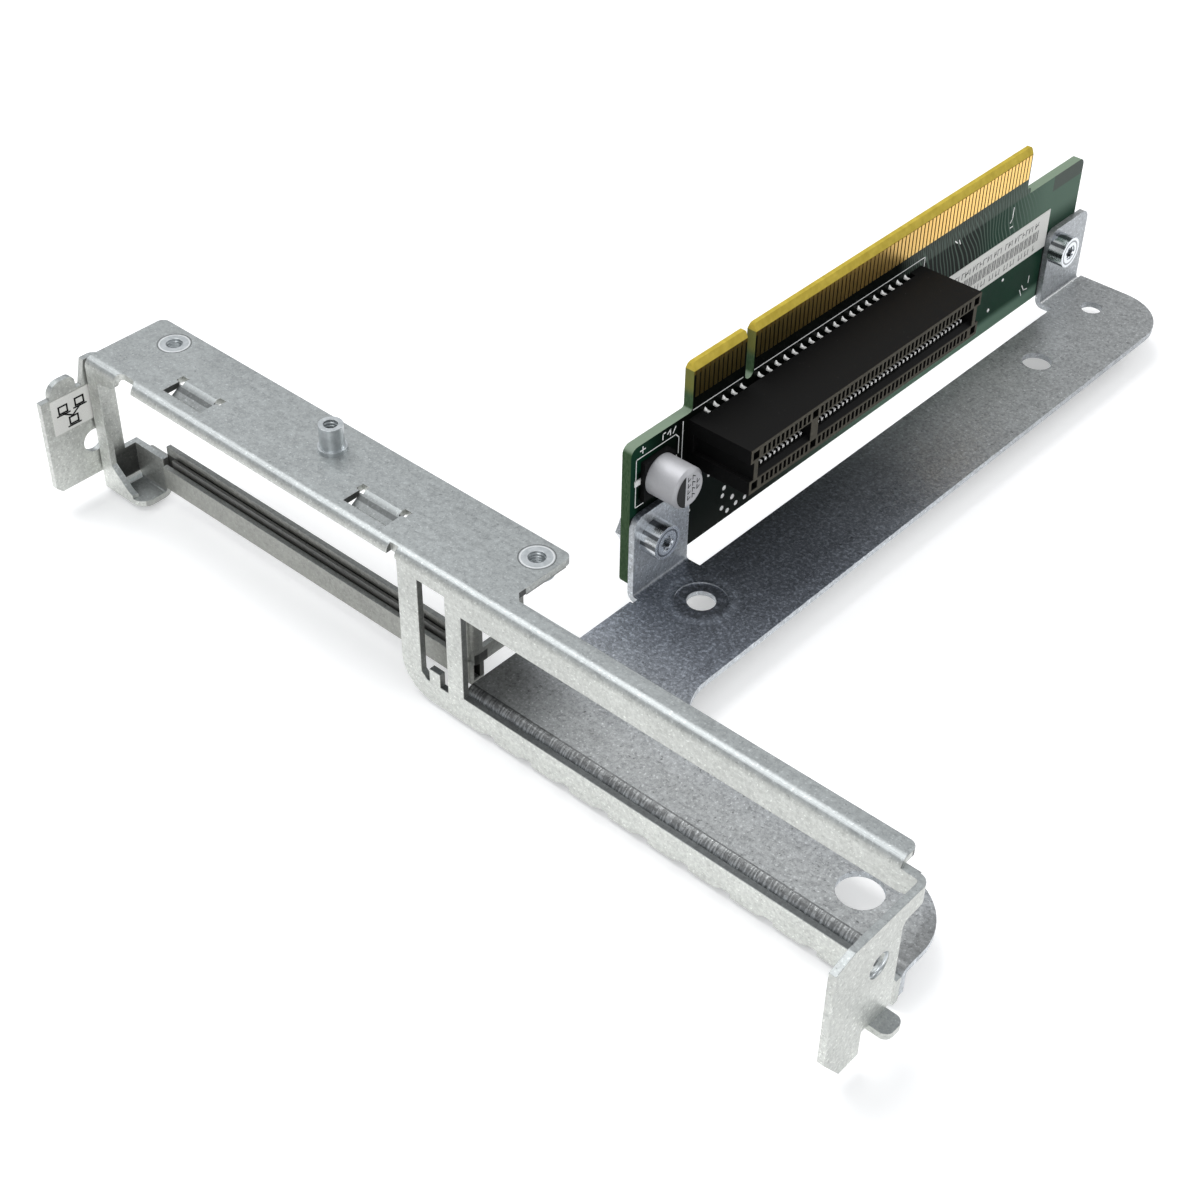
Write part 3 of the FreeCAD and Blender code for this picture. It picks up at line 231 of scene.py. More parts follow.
class Finish(Graph):
    """A node material around one Principled shader."""

    def __init__(self, name, colour, roughness, metallic=0.0, **plain):
        self.material = bpy.data.materials.new(name)
        self.material.use_nodes = True
        super().__init__(self.material.node_tree)
        self.shader = self.tree.nodes["Principled BSDF"]
        self.put("Base Color", colour)
        self.put("Roughness", roughness)
        self.put("Metallic", metallic)
        for socket, number in plain.items():
            self.put(socket.replace("_", " "), number)

    def put(self, socket, source):
        """Set or feed one socket of the shader."""
        self.join(self.shader.inputs[socket], source)

    def mix(self, factor, first, second):
        """Blend two colours."""
        return self.node(
            "ShaderNodeMix",
            {"data_type": "RGBA", "clamp_factor": True},
            {"Factor": factor, COLOUR_A: first, COLOUR_B: second},
            COLOUR_RESULT,
        )

    def tint(self, colour, amount):
        """Make a colour lighter or darker by a value that is 1 where nothing changes."""
        grey = self.node("ShaderNodeCombineXYZ", None, {"X": amount, "Y": amount, "Z": amount})
        return self.node("ShaderNodeVectorMath", {"operation": "MULTIPLY"}, {0: grey, 1: colour})

    def place(self):
        """The object's own coordinates, in millimetres."""
        here = self.node("ShaderNodeTexCoord", None, None, "Object")
        return self.node("ShaderNodeVectorMath", {"operation": "SCALE"}, {0: here, "Scale": 1 / MM})

    def facing(self):
        """The three parts of the surface direction, before any bump."""
        return self.parts(self.node("ShaderNodeNewGeometry", None, None, "Normal"))

    def distance(self, first, second, spots):
        """How far a point of a plane is from the nearest of some spots."""
        nearest = None
        for spot in spots:
            over, beyond = first - spot[0], second - spot[1]
            reach = (over * over + beyond * beyond).power(0.5)
            nearest = nearest.least(reach) if nearest else reach
        return nearest

    def noise(self, place, scale, detail=2.0, roughness=0.5, stretch=None):
        """Noise of about 0 to 1 with features 1/scale millimetres wide."""
        if stretch:
            place = self.node("ShaderNodeVectorMath", {"operation": "MULTIPLY"}, {0: place, 1: stretch})
        return self.node(
            "ShaderNodeTexNoise",
            None,
            {"Vector": place, "Scale": scale, "Detail": detail, "Roughness": roughness},
            "Fac",
        )

    def bump(self, height, distance, strength, normal=None):
        """Relief whose height of 1 stands for a distance in millimetres."""
        inputs = {"Height": height, "Distance": distance * MM, "Strength": strength}
        if normal is not None:
            inputs["Normal"] = normal
        return self.node("ShaderNodeBump", None, inputs, "Normal")

    def worn_edges(self, radius):
        """A surface direction that rounds sharp edges by a radius in millimetres."""
        return self.node("ShaderNodeBevel", {"samples": 4}, {"Radius": radius * MM}, "Normal")


def rgb(red, green, blue):
    """A colour as a paint program shows it, 0 to 255, in the linear values that shaders use."""
    return tuple(((v / 255 + 0.055) / 1.055) ** 2.4 for v in (red, green, blue))


print("expression helpers are ready")

# %% [markdown]
# ## Zinc plating
#
# The carrier is cold-rolled steel with thin zinc plating. Close up it is a fine, even
# grain with tiny bright crystals, faint rolling lines along the strip and slow clouds
# where the plating is duller. One function makes that finish. Level and upright faces
# have a tone each, which is painted light: it paints how differently light falls on
# them. Bends are a little rougher where the plating was stretched.

# %% Zinc finish
def zinc(name, level_lit_tone, upright_lit_tone, roughness, lines, grain=0.10, extra=None):
    """Zinc-plated sheet. lines stretches the rolling lines, extra changes tone, light and relief."""
    finish = Finish(name, level_lit_tone, roughness, metallic=0.80)
    place = finish.place()
    up = finish.facing()[2]
    level = up.size().step(0.35, 0.85)
    bend = up.size().between(0.25, 0.80, 0.12)
    cloud = finish.noise(place, 0.10, detail=3.0, roughness=0.6) - 0.5
    mottle = finish.noise(place, 0.45, detail=2.0, roughness=0.6) - 0.5
    fine = finish.noise(place, 1.7, detail=3.0, roughness=0.8) - 0.5
    rolled = finish.noise(place, 1.0, detail=2.0, roughness=0.6, stretch=lines) - 0.5
    speck = finish.noise(place, 2.8, detail=1.0, roughness=0.5).step(0.60, 0.76)
    pit = finish.noise(place + (40.0, 0.0, 0.0), 2.5, detail=1.0, roughness=0.5).step(0.62, 0.80)
    light = 1 + cloud * 0.24 + mottle * grain * 1.2 + fine * grain * 6 + rolled * 0.16
    light = light + speck * grain * 2.2 - pit * grain * 1.6
    height = fine + rolled * 0.5 + speck * 0.4
    # Painted light: level and upright faces get separate tones for how light falls on them.
    tone = finish.mix(level, upright_lit_tone, level_lit_tone)
    if extra:
        tone, light, height = extra(finish, place, tone, light, height)
    finish.put("Base Color", finish.tint(tone, light))
    finish.put("Roughness", roughness + bend * 0.14 + fine * 0.25 + rolled * 0.16 - speck * 0.10)
    finish.put("Normal", finish.bump(height, distance=0.016, strength=0.6, normal=finish.worn_edges(0.12)))
    return finish


print("zinc finish is ready")

# %% [markdown]
# ## Work, wear and painted light on the sheets
#
# Each sheet has marks of its own. The arm is burnished round the coined hole and ridged at
# the front where the bending tool held it. It also has painted light: a dark, bluish
# reflection in its flat middle, painted shade at a corner, at its far end, towards its far
# tab and on its front bend, and lighter upright faces near the front. The front frame has
# painted shade in its pocket, on the cut edges of its openings and on its tongues, painted
# highlights on the pocket's inner bend and along the tongues, and lightened lower walls.
# Each mark is a mask between 0 and 1, times how much it lightens or darkens the sheet.

# %% Marks on the arm and the plate
def arm_marks(finish, place, tone, light, height):
    """Painted reflection, light and shade, a burnished ring round the hole, and the ridges of the bending
    tool at the front.
    """
    x, y, _ = finish.parts(place)
    up = finish.facing()[2]
    flat = up.step(0.5, 0.9)
    front = plate_low[1] / MM
    # Painted reflection: the flat middle of the arm is made darker and bluer, and its speckle is stronger
    # there.
    dullness_and_reflection = y.step(-32.0, -6.0) * (1 - y.step(10.0, 80.0)) * flat
    salt = finish.noise(place, 1.9, detail=2.0, roughness=0.7).step(0.50, 0.64)
    light = light * (1 - dullness_and_reflection * 0.46) + salt * (0.10 + dullness_and_reflection * 0.42)
    tone = finish.mix(dullness_and_reflection * 0.8, tone, rgb(150, 158, 172))
    corner_shade = (1 - x.step(-10.0, 3.0)) * (1 - y.step(-30.0, -21.0)) * flat
    end_shade = x.step(56.0, 60.0) * flat
    ring = finish.distance(x, y, [near_hole])
    burnish = ring.between(4.7, 5.3, 0.5) * 0.35 - ring.between(2.4, 3.6, 0.8) * 0.25
    # Painted light on the upright faces: lighter near the front, darker towards the far tab.
    tabs = 1.18 - y.step(20.0, 95.0) * 0.40 * (1 - flat) - flat * 0.18
    light = light * (1 - corner_shade * 0.6) * (1 + burnish * flat) * (1 - end_shade * 0.42) * tabs
    # Painted shade on the front bend, darker in the grooves between the ridges, and line is a painted dark
    # crease beneath it; the ridges are real relief too.
    bent = 1 - x.step(54.0, 54.5)
    band = y.between(front - 0.1, front + 1.25, 0.1) * bent * up.step(0.1, 0.4)
    line = y.between(front + 1.3, front + 1.45, 0.08) * bent * flat
    ridge = finish.noise(place, 1.0, detail=1.0, roughness=0.5, stretch=(3.4, 0.4, 0.4)).step(0.45, 0.58)
    light = light * (1 - band * (0.20 + (1 - ridge) * 0.35)) * (1 - line * 0.6)
    return tone, light, height + band * ridge * 2.0


print("arm marks are ready")

# %% Marks on the front frame
def pocket_light(x, y, z, across, up):
    """The left pocket: painted shade on its walls, darkest on the left wall, and a painted highlight on the
    inner bend.
    """
    left = frame_low[0] / MM
    pocket = x.between(left + 2.2, left + 19.0, 0.4) * y.step(wall_front + 0.9, wall_front + 1.1)
    pocket = pocket * (1 - z.step(2.2, 5.5))
    walls = pocket * (1 - up.step(0.85, 0.97))
    left_wall_shade = pocket * across.step(0.90, 0.98) * (1 - x.step(left + 9.0, left + 10.0))
    cove_highlight = pocket * across.between(0.25, 0.90, 0.08) * up.between(0.25, 0.95, 0.08)
    return (1 - walls * 0.4) * (1 - left_wall_shade * 0.8) * (1 + cove_highlight * 2.2)


def cut_light(x, y, z, across, up):
    """Painted shade on the cut edges of the openings in the shelf and of the windows in the wall."""
    shelf_cut_shade = (1 - up.size().step(0.3, 0.6)) * z.between(shelf_top - 0.95, shelf_top - 0.05, 0.05)
    shelf_cut_shade = shelf_cut_shade * y.between(wall_front + 2.4, wall_front + 6.0, 0.2)
    in_wall = x.between(-30.0, 58.0, 1.0) * y.between(wall_front + 0.15, wall_front + 0.95, 0.08)
    wall_cut_shade = in_wall * (across.size().step(0.6, 0.9) + up.step(0.6, 0.9) * (1 - z.step(8.0, 10.0)))
    return (1 - shelf_cut_shade * 0.8) * (1 - wall_cut_shade * 0.62)


def frame_marks(finish, place, tone, light, height):
    """All marks of the front frame: the press line round each stud, and painted light and shade on the walls,
    the pocket, the cut edges and the tongues.
    """
    x, y, z = finish.parts(place)
    across, _, up = finish.facing()
    level = up.step(0.85, 0.97)
    # Painted light: upright faces low on the frame are lightened.
    low_wall_light = (1 - z.step(0.0, 15.0)) * (1 - level)
    press = finish.distance(x, y, stud_spots).between(stud_radius, stud_radius + 0.14, 0.08) * level
    # Painted light on the sloped tongues: painted shade on the slope, a painted dark stripe under the root,
    # and painted highlights along the root and at the tip.
    tongue = up.between(0.80, 0.88, 0.02) * z.step(15.0, 16.0)
    root = tongue * y.step(wall_front + 5.7, wall_front + 6.3)
    under = tongue * y.between(wall_front + 5.0, wall_front + 5.5, 0.15)
    tip = tongue * (1 - y.step(wall_front + 2.9, wall_front + 3.2))
    light = light * pocket_light(x, y, z, across, up) * cut_light(x, y, z, across, up)
    light = light * (1 - press * 0.5) * (1 + low_wall_light * 0.20) * (1 - tongue * 0.22) * (1 - under * 0.5)
    return tone, light + root * 0.5 + tip * 0.6, height


def rail_marks(finish, place, tone, light, height):
    """Painted shade in the gap between the two lips of the rail."""
    _, y, z = finish.parts(place)
    upright = 1 - finish.facing()[2].size().step(0.4, 0.8)
    gap = z.between(-1.0, 3.4, 0.3) * y.between(-32.4, -30.2, 0.15) * upright
    return tone, light * (1 - gap * 0.8), height


print("frame and rail marks are ready")

# %% Finishes of the sheets
along_x = (0.04, 2.0, 2.0)
along_y = (2.0, 0.04, 2.0)
frame_zinc = zinc("zinc_frame", rgb(160, 164, 164), rgb(192, 194, 190), 0.42, along_x, 0.16, frame_marks)
plate_zinc = zinc("zinc_plate", rgb(166, 168, 168), rgb(180, 184, 188), 0.42, along_y, 0.26, arm_marks)
rail_zinc = zinc("zinc_rail", rgb(150, 152, 150), rgb(156, 157, 152), 0.40, along_x, 0.16, rail_marks)
strip_steel = zinc("spring_strip", rgb(70, 70, 68), rgb(52, 52, 50), 0.36, along_x)
liner_steel = zinc("rail_liner", rgb(120, 120, 118), rgb(140, 140, 137), 0.36, along_x)
sheet_finishes = {
    "front_frame": frame_zinc,
    "base_plate": plate_zinc,
    "rail_bracket": rail_zinc,
    "rail_liner": liner_steel,
    "spring_strip": strip_steel,
}
for name, finish in sheet_finishes.items():
    nodes[name].material_slots[0].material = finish.material
print("sheet finishes:", len(sheet_finishes))

# %% [markdown]
# ## Circuit board
#
# The board is glass cloth in resin under green solder mask. The mask is nearly black
# where copper lies under it and lighter green where there is none. Traces sweep down from
# the edge fingers as thin lighter runs. Bare laminate shows along every cut edge, and on
# the bevel of the edge fingers it is an olive gold.

# %% Tones of the solder mask
finger_foot = board_top - 5.7
bevel_start = board_top - 1.25


def mask_tone(finish, place, y, z, slot_face):
    """Green mask with its dark and light areas. Some areas lie on the slot's side alone."""
    mask = finish.mix(finish.noise(place, 0.14, detail=2.0, roughness=0.5), rgb(8, 36, 25), rgb(18, 60, 42))
    shoulder = board_floor + 20.2 + y.step(3.0, 5.0) * 20
    margin = y.step(board_front + 1.0, board_front + 1.8) * (1 - (z - shoulder).step(-1.0, -0.3))
    ground = (1 - y.step(50.0, 75.0)) * margin * slot_face
    copper = y.between(2.0, 76.0, 8.0) * z.step(14.0, 19.0) * slot_face
    bare_end = y.step(84.0, 100.0) * z.step(15.0, 19.0) * slot_face
    patch = y.between(100.5, 120.0, 0.3) * z.between(22.5, 28.4, 0.3) * slot_face
    bottom_rim = (1 - z.step(board_floor + 1.6, board_floor + 3.4)) * y.step(20.0, 60.0)
    for area, strength, tone in (
        (ground, 0.92, rgb(2, 7, 4)),
        (copper, 0.9, rgb(8, 10, 8)),
        (bare_end, 1.0, rgb(78, 102, 88)),
        (patch, 0.8, rgb(74, 78, 75)),
        (bottom_rim, 0.75, rgb(110, 140, 122)),
    ):
        mask = finish.mix(area * strength, mask, tone)
    return mask


def shade_round_tabs(y, z, slot_face):
    """Painted shade in the gap round the two tabs that hold the board."""
    near = y.between(board_front - 1.0, board_front + 12.2, 0.15)
    far = y.between(board_front + 106.6, board_front + 115.8, 0.15)
    return (near + far) * (1 - z.step(board_floor + 12.2, board_floor + 12.5)) * slot_face


print("mask tones are ready")

# %% Board finish
def edge_tone(finish, place, z, face_z):
    """Cut laminate with painted light on its upward faces, and olive resin on the bevel of the fingers."""
    weft = finish.noise(place, 1.4, detail=2.0, roughness=0.6, stretch=(3.0, 1.0, 1.0))
    edge = finish.mix(weft, rgb(30, 56, 32), rgb(84, 106, 78))
    # Painted light: the upward faces of the cut edges are lighter.
    edge = finish.mix(face_z.step(0.3, 0.8) * 0.6, edge, rgb(150, 166, 148))
    edge = finish.mix(z.step(finger_foot, finger_foot + 2.0) * 0.7, edge, rgb(122, 118, 58))
    fibre = finish.noise(place, 0.7, detail=2.0, roughness=0.6)
    resin = finish.mix(fibre, rgb(158, 138, 46), rgb(206, 184, 80))
    return finish.mix(z.step(bevel_start, bevel_start + 0.08), edge, resin)


def board_finish():
    """Solder mask with traces on both faces, and bare laminate on every edge."""
    finish = Finish("solder_mask", rgb(12, 52, 36), 0.32, Specular_IOR_Level=0.04)
    place = finish.place()
    _, y, z = finish.parts(place)
    face_x, _, face_z = finish.facing()
    slot_face = face_x.step(0.5, 0.9)
    mask = mask_tone(finish, place, y, z, slot_face)
    wave = finish.noise(place, 0.10, detail=1.0, roughness=0.4)
    run = (y * 1.05 + z * 0.50 + wave * 5.0).fraction().between(0.30, 0.52, 0.06)
    sweep = y.between(62.0, 92.0, 6.0) * z.between(19.5, 26.5, 1.5)
    fan = y.between(60.0, 99.0, 5.0) * z.between(25.5, finger_foot, 0.6)
    fine_run = ((y + z * 0.3) * 2.0).fraction().between(0.30, 0.60, 0.1)
    brown = z.between(bevel_start - 0.55, bevel_start, 0.1)
    for area, tone in (
        (fan * 0.55, rgb(66, 74, 68)),
        (run * sweep * 0.7, rgb(86, 104, 94)),
        (fine_run * fan * 0.6, rgb(96, 106, 98)),
        # painted shade round the tabs
        (shade_round_tabs(y, z, slot_face) * 0.85, rgb(6, 8, 6)),
        (brown * 0.8, rgb(96, 78, 30)),
    ):
        mask = finish.mix(area, mask, tone)
    flat = face_x.size().step(0.9, 0.97)
    masked = flat * (1 - z.step(bevel_start, bevel_start + 0.08))
    finish.put("Base Color", finish.mix(masked, edge_tone(finish, place, z, face_z), mask))
    weave = (y * 2.2).fraction() * 0.5 + (z * 2.2).fraction() * 0.5
    relief = weave * 0.5 + run * sweep + fine_run * fan
    finish.put("Roughness", 0.34 + weave * 0.08 + (1 - flat) * 0.25)
    finish.put("Normal", finish.bump(relief, distance=0.012, strength=0.5))
    return finish


board_green = board_finish()
nodes["riser_board"].material_slots[0].material = board_green.material
print("nodes in the board finish:", len(board_green.tree.nodes))

# %% [markdown]
# ## Gold, tin, paper and moulded plastic
#
# The fingers have hard gold over nickel, with a painted reflection: brighter at the far end
# and browner near the key, where they face darker surroundings. The slot is matt black
# plastic whose ribs are scuffed to a grey brown on the outermost rim; its faces towards the
# front end get painted shade, and its contacts a painted highlight at the tips.

# %% Plain finishes
def gold_finish():
    """Gold with a painted reflection, brighter at the far end, and streaked across the fingers."""
    finish = Finish("gold_flash", rgb(224, 178, 84), 0.3, metallic=0.9)
    place = finish.place()
    y = finish.parts(place)[1]
    streak = finish.noise(place, 1.5, detail=2.0, roughness=0.6, stretch=(1.0, 6.0, 0.4)) - 0.5
    # Painted reflection: darker and browner near the key, bright at the far end.
    bright = y.step(20.0, 75.0)
    tone = finish.mix(bright, rgb(112, 96, 50), rgb(250, 204, 116))
    finish.put("Base Color", finish.tint(tone, 1 + streak * 0.4))
    finish.put("Roughness", 0.32 + streak * 0.2)
    finish.put("Normal", finish.bump(streak, distance=0.01, strength=0.5))
    return finish


def tin_finish(name, tone, roughness, grain=0.5):
    """Dipped or plated metal with a soft, uneven gloss."""
    finish = Finish(name, tone, roughness, metallic=0.9)
    place = finish.place()
    dullness_and_reflection = finish.noise(place, 4.0, detail=2.0, roughness=0.6) - 0.5
    finish.put("Base Color", finish.tint(tone, 1 + dullness_and_reflection * grain))
    finish.put("Roughness", roughness + dullness_and_reflection * 0.25)
    finish.put("Normal", finish.bump(dullness_and_reflection, distance=0.02, strength=grain, normal=finish.worn_edges(0.10)))
    return finish


def plastic_finish(name, tone, roughness):
    """Matt plastic, paper or ink with a fine grain."""
    finish = Finish(name, tone, roughness, Specular_IOR_Level=0.2)
    place = finish.place()
    grain = finish.noise(place, 6.0, detail=2.0, roughness=0.6) - 0.5
    finish.put("Base Color", finish.tint(tone, 1 + grain * 0.4))
    finish.put("Roughness", roughness + grain * 0.2)
    finish.put("Normal", finish.bump(grain, distance=0.02, strength=0.5, normal=finish.worn_edges(0.08)))
    return finish


print("plain finishes are ready")

# %% Finishes with marks of their own
def slot_finish():
    """Black moulding whose mouth rim is scuffed, with painted shade on the faces towards the front end."""
    black = rgb(11, 11, 11)
    finish = plastic_finish("slot_black", black, 0.62)
    finish.put("Specular IOR Level", 0.12)
    place = finish.place()
    x = finish.parts(place)[0]
    rim = x.step(housing_high[0] / MM - 0.12, housing_high[0] / MM - 0.02)
    scuff = finish.noise(place, 1.3, detail=3.0, roughness=0.7)
    dust = finish.noise(place, 2.2, detail=2.0, roughness=0.5).step(0.72, 0.80)
    tone = finish.mix(rim * (0.3 + scuff * 0.7), black, rgb(84, 80, 70))
    # Painted shade on the faces that look towards the front end.
    front_end_shade = 1 - finish.facing()[1].step(-0.9, -0.5)
    tone = finish.mix(front_end_shade * 0.8, tone, rgb(1, 1, 1))
    finish.put("Base Color", finish.mix(dust * 0.12, tone, rgb(150, 150, 146)))
    return finish


def spring_finish():
    """Tinned contacts with a painted highlight at the tips and painted shade on their sides and in the depth
    of the slot.
    """
    finish = tin_finish("tinned_springs", rgb(240, 240, 238), 0.3)
    x = finish.parts(finish.place())[0]
    along = finish.facing()[1]
    # Painted highlight on the tips; painted shade on the sides and deeper in the slot.
    tip = x.step(springs_high[0] / MM - 0.7, springs_high[0] / MM - 0.3)
    side = along.size().step(0.5, 0.9)
    finish.put("Base Color", finish.mix(tip * (1 - side), rgb(8, 8, 8), rgb(252, 252, 250)))
    finish.put("Metallic", 0.1)
    return finish


def screw_finish():
    """Polished zinc with painted dark and light reflection bands, like those a turned head mirrors."""
    finish = tin_finish("bright_zinc", rgb(214, 218, 222), 0.22, 0.25)
    _, y, z = finish.parts(finish.place())
    across, along, up = finish.facing()
    end = across.size().step(0.6, 0.9)
    # Painted reflection: dark and light bands round the sides of the heads.
    painted_reflection_bands = (up * 1.5 + along * 0.8).fraction().between(0.20, 0.48, 0.10) * (1 - end)
    groove = finish.distance(y, z, screw_spots).between(1.95, 2.15, 0.10) * end
    finish.put("Base Color", finish.mix(painted_reflection_bands * 0.85 + groove * 0.7, rgb(224, 228, 232), rgb(52, 56, 62)))
    return finish


def stud_finish():
    """Pressed studs: a bright outer rim round a duller face."""
    finish = tin_finish("stud_zinc", rgb(206, 210, 214), 0.34, 0.35)
    place = finish.place()
    x, y, _ = finish.parts(place)
    rim = finish.distance(x, y, stud_spots).between(stud_radius - 0.24, stud_radius - 0.14, 0.10)
    dullness_and_reflection = finish.noise(place, 1.2, detail=2.0, roughness=0.6)
    face = finish.mix(dullness_and_reflection, rgb(168, 174, 176), rgb(222, 226, 228))
    finish.put("Base Color", finish.mix(rim * 0.8, face, rgb(244, 246, 246)))
    return finish


print("marked finishes are ready")

# %% Finishes on the nodes
gold = gold_finish()
tin = tin_finish("tinned_tails", rgb(252, 252, 250), 0.3)
tin.put("Metallic", 0.1)
spring_tin = spring_finish()
bright_zinc = screw_finish()
stud_zinc = stud_finish()
can_skin = tin_finish("can_aluminium", rgb(184, 184, 187), 0.56, 0.2)
can_skin.put("Metallic", 0.6)
slot_black = slot_finish()
paper = plastic_finish("label_paper", rgb(216, 216, 212), 0.6)
ink = plastic_finish("printed_black", rgb(22, 22, 22), 0.5)
silk = plastic_finish("silk_white", rgb(246, 247, 245), 0.5)
grey_ink = plastic_finish("printed_grey", rgb(96, 96, 96), 0.5)
small_finishes = {
    "edge_contacts_front": gold,
    "edge_contacts_back": gold,
    "slot_tails": tin,
    "capacitor_leads": tin,
    "slot_springs_upper": spring_tin,
    "slot_springs_lower": spring_tin,
    "slot_housing": slot_black,
    "capacitor_base": slot_black,
    "capacitor_can": can_skin,
    "board_screws": bright_zinc,
    "board_nuts": bright_zinc,
    "shelf_studs": stud_zinc,
    "guide_boss": stud_zinc,
    "board_label": paper,
    "flange_label": paper,
}
for name, finish in small_finishes.items():
    nodes[name].material_slots[0].material = finish.material
print("finishes:", len(bpy.data.materials))

# %% [markdown]
# ## A small mesh builder
#
# Every added piece is a few rules on a mesh: a line of given width on a flat face, a
# profile turned round an axis, or a thread that climbs a bore. The builder collects the
# points in millimetres, makes one object of them, gives it a finish and lets it ride on
# the rigid body. The axes are named by letters, so a disc on the board and a disc on the
# shelf use the same code. Print stands off its face by PRINT, which is in millimetres.

# %% Mesh builder
class Shape:
    """Points and faces in millimetres, in the frame of the part."""

    def __init__(self, normal="X"):
        self.points = []
        self.faces = []
        self.normal = normal

    def at(self, level, first, second):
        """A point from its height along the normal and its place on the face."""
        if self.normal == "X":
            return (level, first, second)
        return (first, second, level)

    def face(self, points):
        """A face of its own through some points."""
        start = len(self.points)
        self.points += points
        self.faces.append(tuple(range(start, start + len(points))))

    def line(self, level, path, width):
        """A flat line of a given width through the points of a path."""
        for (a, b), (c, d) in zip(path, path[1:]):
            length = math.hypot(c - a, d - b)
            along, over = (c - a) / length, (d - b) / length
            a, b = a - along * width / 2, b - over * width / 2
            c, d = c + along * width / 2, d + over * width / 2
            side, rise = -over * width / 2, along * width / 2
            corners = [(a - side, b - rise), (c - side, d - rise), (c + side, d + rise), (a + side, b + rise)]
            self.face([self.at(level, *corner) for corner in corners])

    def patch(self, level, corners):
        """A flat face through corners on one level."""
        self.face([self.at(level, *corner) for corner in corners])

    def turned(self, centre, profile, steps, lobes=None):
        """A profile of (level, radius) turned round the normal.

        lobes holds which points of the profile wave in and out six times, and how far.
        """
        start = len(self.points)
        for step in range(steps):
            angle = 2 * math.pi * step / steps
            for index, (level, radius) in enumerate(profile):
                if lobes and index in lobes[0]:
                    radius += lobes[1] * math.cos(6 * angle)
                spot = (centre[0] + radius * math.cos(angle), centre[1] + radius * math.sin(angle))
                self.points.append(self.at(level, *spot))
        count = len(profile)
        for step in range(steps):
            here, there = start + step * count, start + (step + 1) % steps * count
            for index in range(count - 1):
                self.faces.append((here + index, there + index, there + index + 1, here + index + 1))

    def thread(self, centre, low, high, pitch, root, crest, steps=20):
        """A thread of triangular section that climbs from low to high."""
        start = len(self.points)
        total = int((high - low - pitch) / pitch * steps)
        for step in range(total + 1):
            angle = 2 * math.pi * step / steps
            base = low + pitch * step / steps
            for lift, radius in ((0.0, root), (0.5, crest), (0.96, root)):
                spot = (centre[0] + radius * math.cos(angle), centre[1] + radius * math.sin(angle))
                self.points.append(self.at(base + lift * pitch, *spot))
        for step in range(total):
            here = start + step * 3
            for index in range(2):
                self.faces.append((here + index, here + index + 3, here + index + 4, here + index + 1))

    def piece(self, name, finish, smooth=False):
        """Make the object and let it ride on the rigid body."""
        mesh = bpy.data.meshes.new(name)
        mesh.from_pydata([tuple(v * MM for v in point) for point in self.points], [], self.faces)
        work = bmesh.new()
        work.from_mesh(mesh)
        bmesh.ops.remove_doubles(work, verts=work.verts, dist=1e-7)
        if smooth:
            bmesh.ops.recalc_face_normals(work, faces=work.faces)
        for face in work.faces:
            face.smooth = smooth
        work.to_mesh(mesh)
        work.free()
        item = bpy.data.objects.new(name, mesh)
        bpy.context.scene.collection.objects.link(item)
        mesh.materials.append(finish.material)
        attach(item, "root")


PRINT = 0.015
print("mesh builder is ready")

# %% [markdown]
# ## Printed lines on the board
#
# The white print follows what is mounted: a line over the slot that breaks at the key,
# one beside it, and a frame round the capacitor with one cut corner. Places are measured
# from the board's front edge and its lower edge.

# %% White print
def on_board(path):
    """A path from the board's front and lower edges, in the frame of the part."""
    return [(board_front + along, board_floor + up) for along, up in path]


print_level = board_face + PRINT
outline_width = 0.16
mark_width = 0.2
over_slot = housing_high[2] / MM - board_floor + 1.15
silk_print = Shape()
for path in (
    [(13.0, over_slot), (24.0, over_slot)],
    [(26.6, over_slot), (68.9, over_slot), (68.9, over_slot - 1.9)],
    [(10.9, over_slot - 0.9), (10.9, 15.4)],
    [(3.5, 13.7), (1.1, 13.7), (1.1, 21.9), (9.4, 21.9), (10.1, 21.1), (10.1, 18.4)],
):
    silk_print.line(print_level, on_board(path), outline_width)
for path in (
    [(1.9, 23.0), (2.9, 23.0)],
    [(2.4, 22.5), (2.4, 23.5)],
    [(6.6, 22.5), (6.6, 23.4), (7.1, 23.4)],
    [(7.6, 22.9), (8.2, 23.4), (8.2, 22.5)],
    [(8.8, 22.5), (9.3, 23.3)],
    [(94.4, 22.2), (94.4, 20.2), (93.9, 19.6)],
    [(94.1, 18.6), (94.8, 18.6)],
    [(77.3, 23.3), (78.0, 22.7)],
    [(78.5, 23.0), (78.9, 22.2)],
    [(101.4, 4.4), (102.2, 3.2), (103.3, 3.0)],
    [(103.4, 5.4), (103.4, 4.2)],
    [(100.9, 3.7), (101.6, 2.4)],
):
    silk_print.line(print_level, on_board(path), mark_width)
silk_print.piece("board_print", silk)
print("printed faces:", len(silk_print.faces))

# %% [markdown]
# ## Solder
#
# Vias that are filled with solder stand a little proud of the mask as bright domes. Most
# sit below the slot's front end, and three at the far end by the label. Each solder tail
# of the slot gets a fillet that runs up to it.

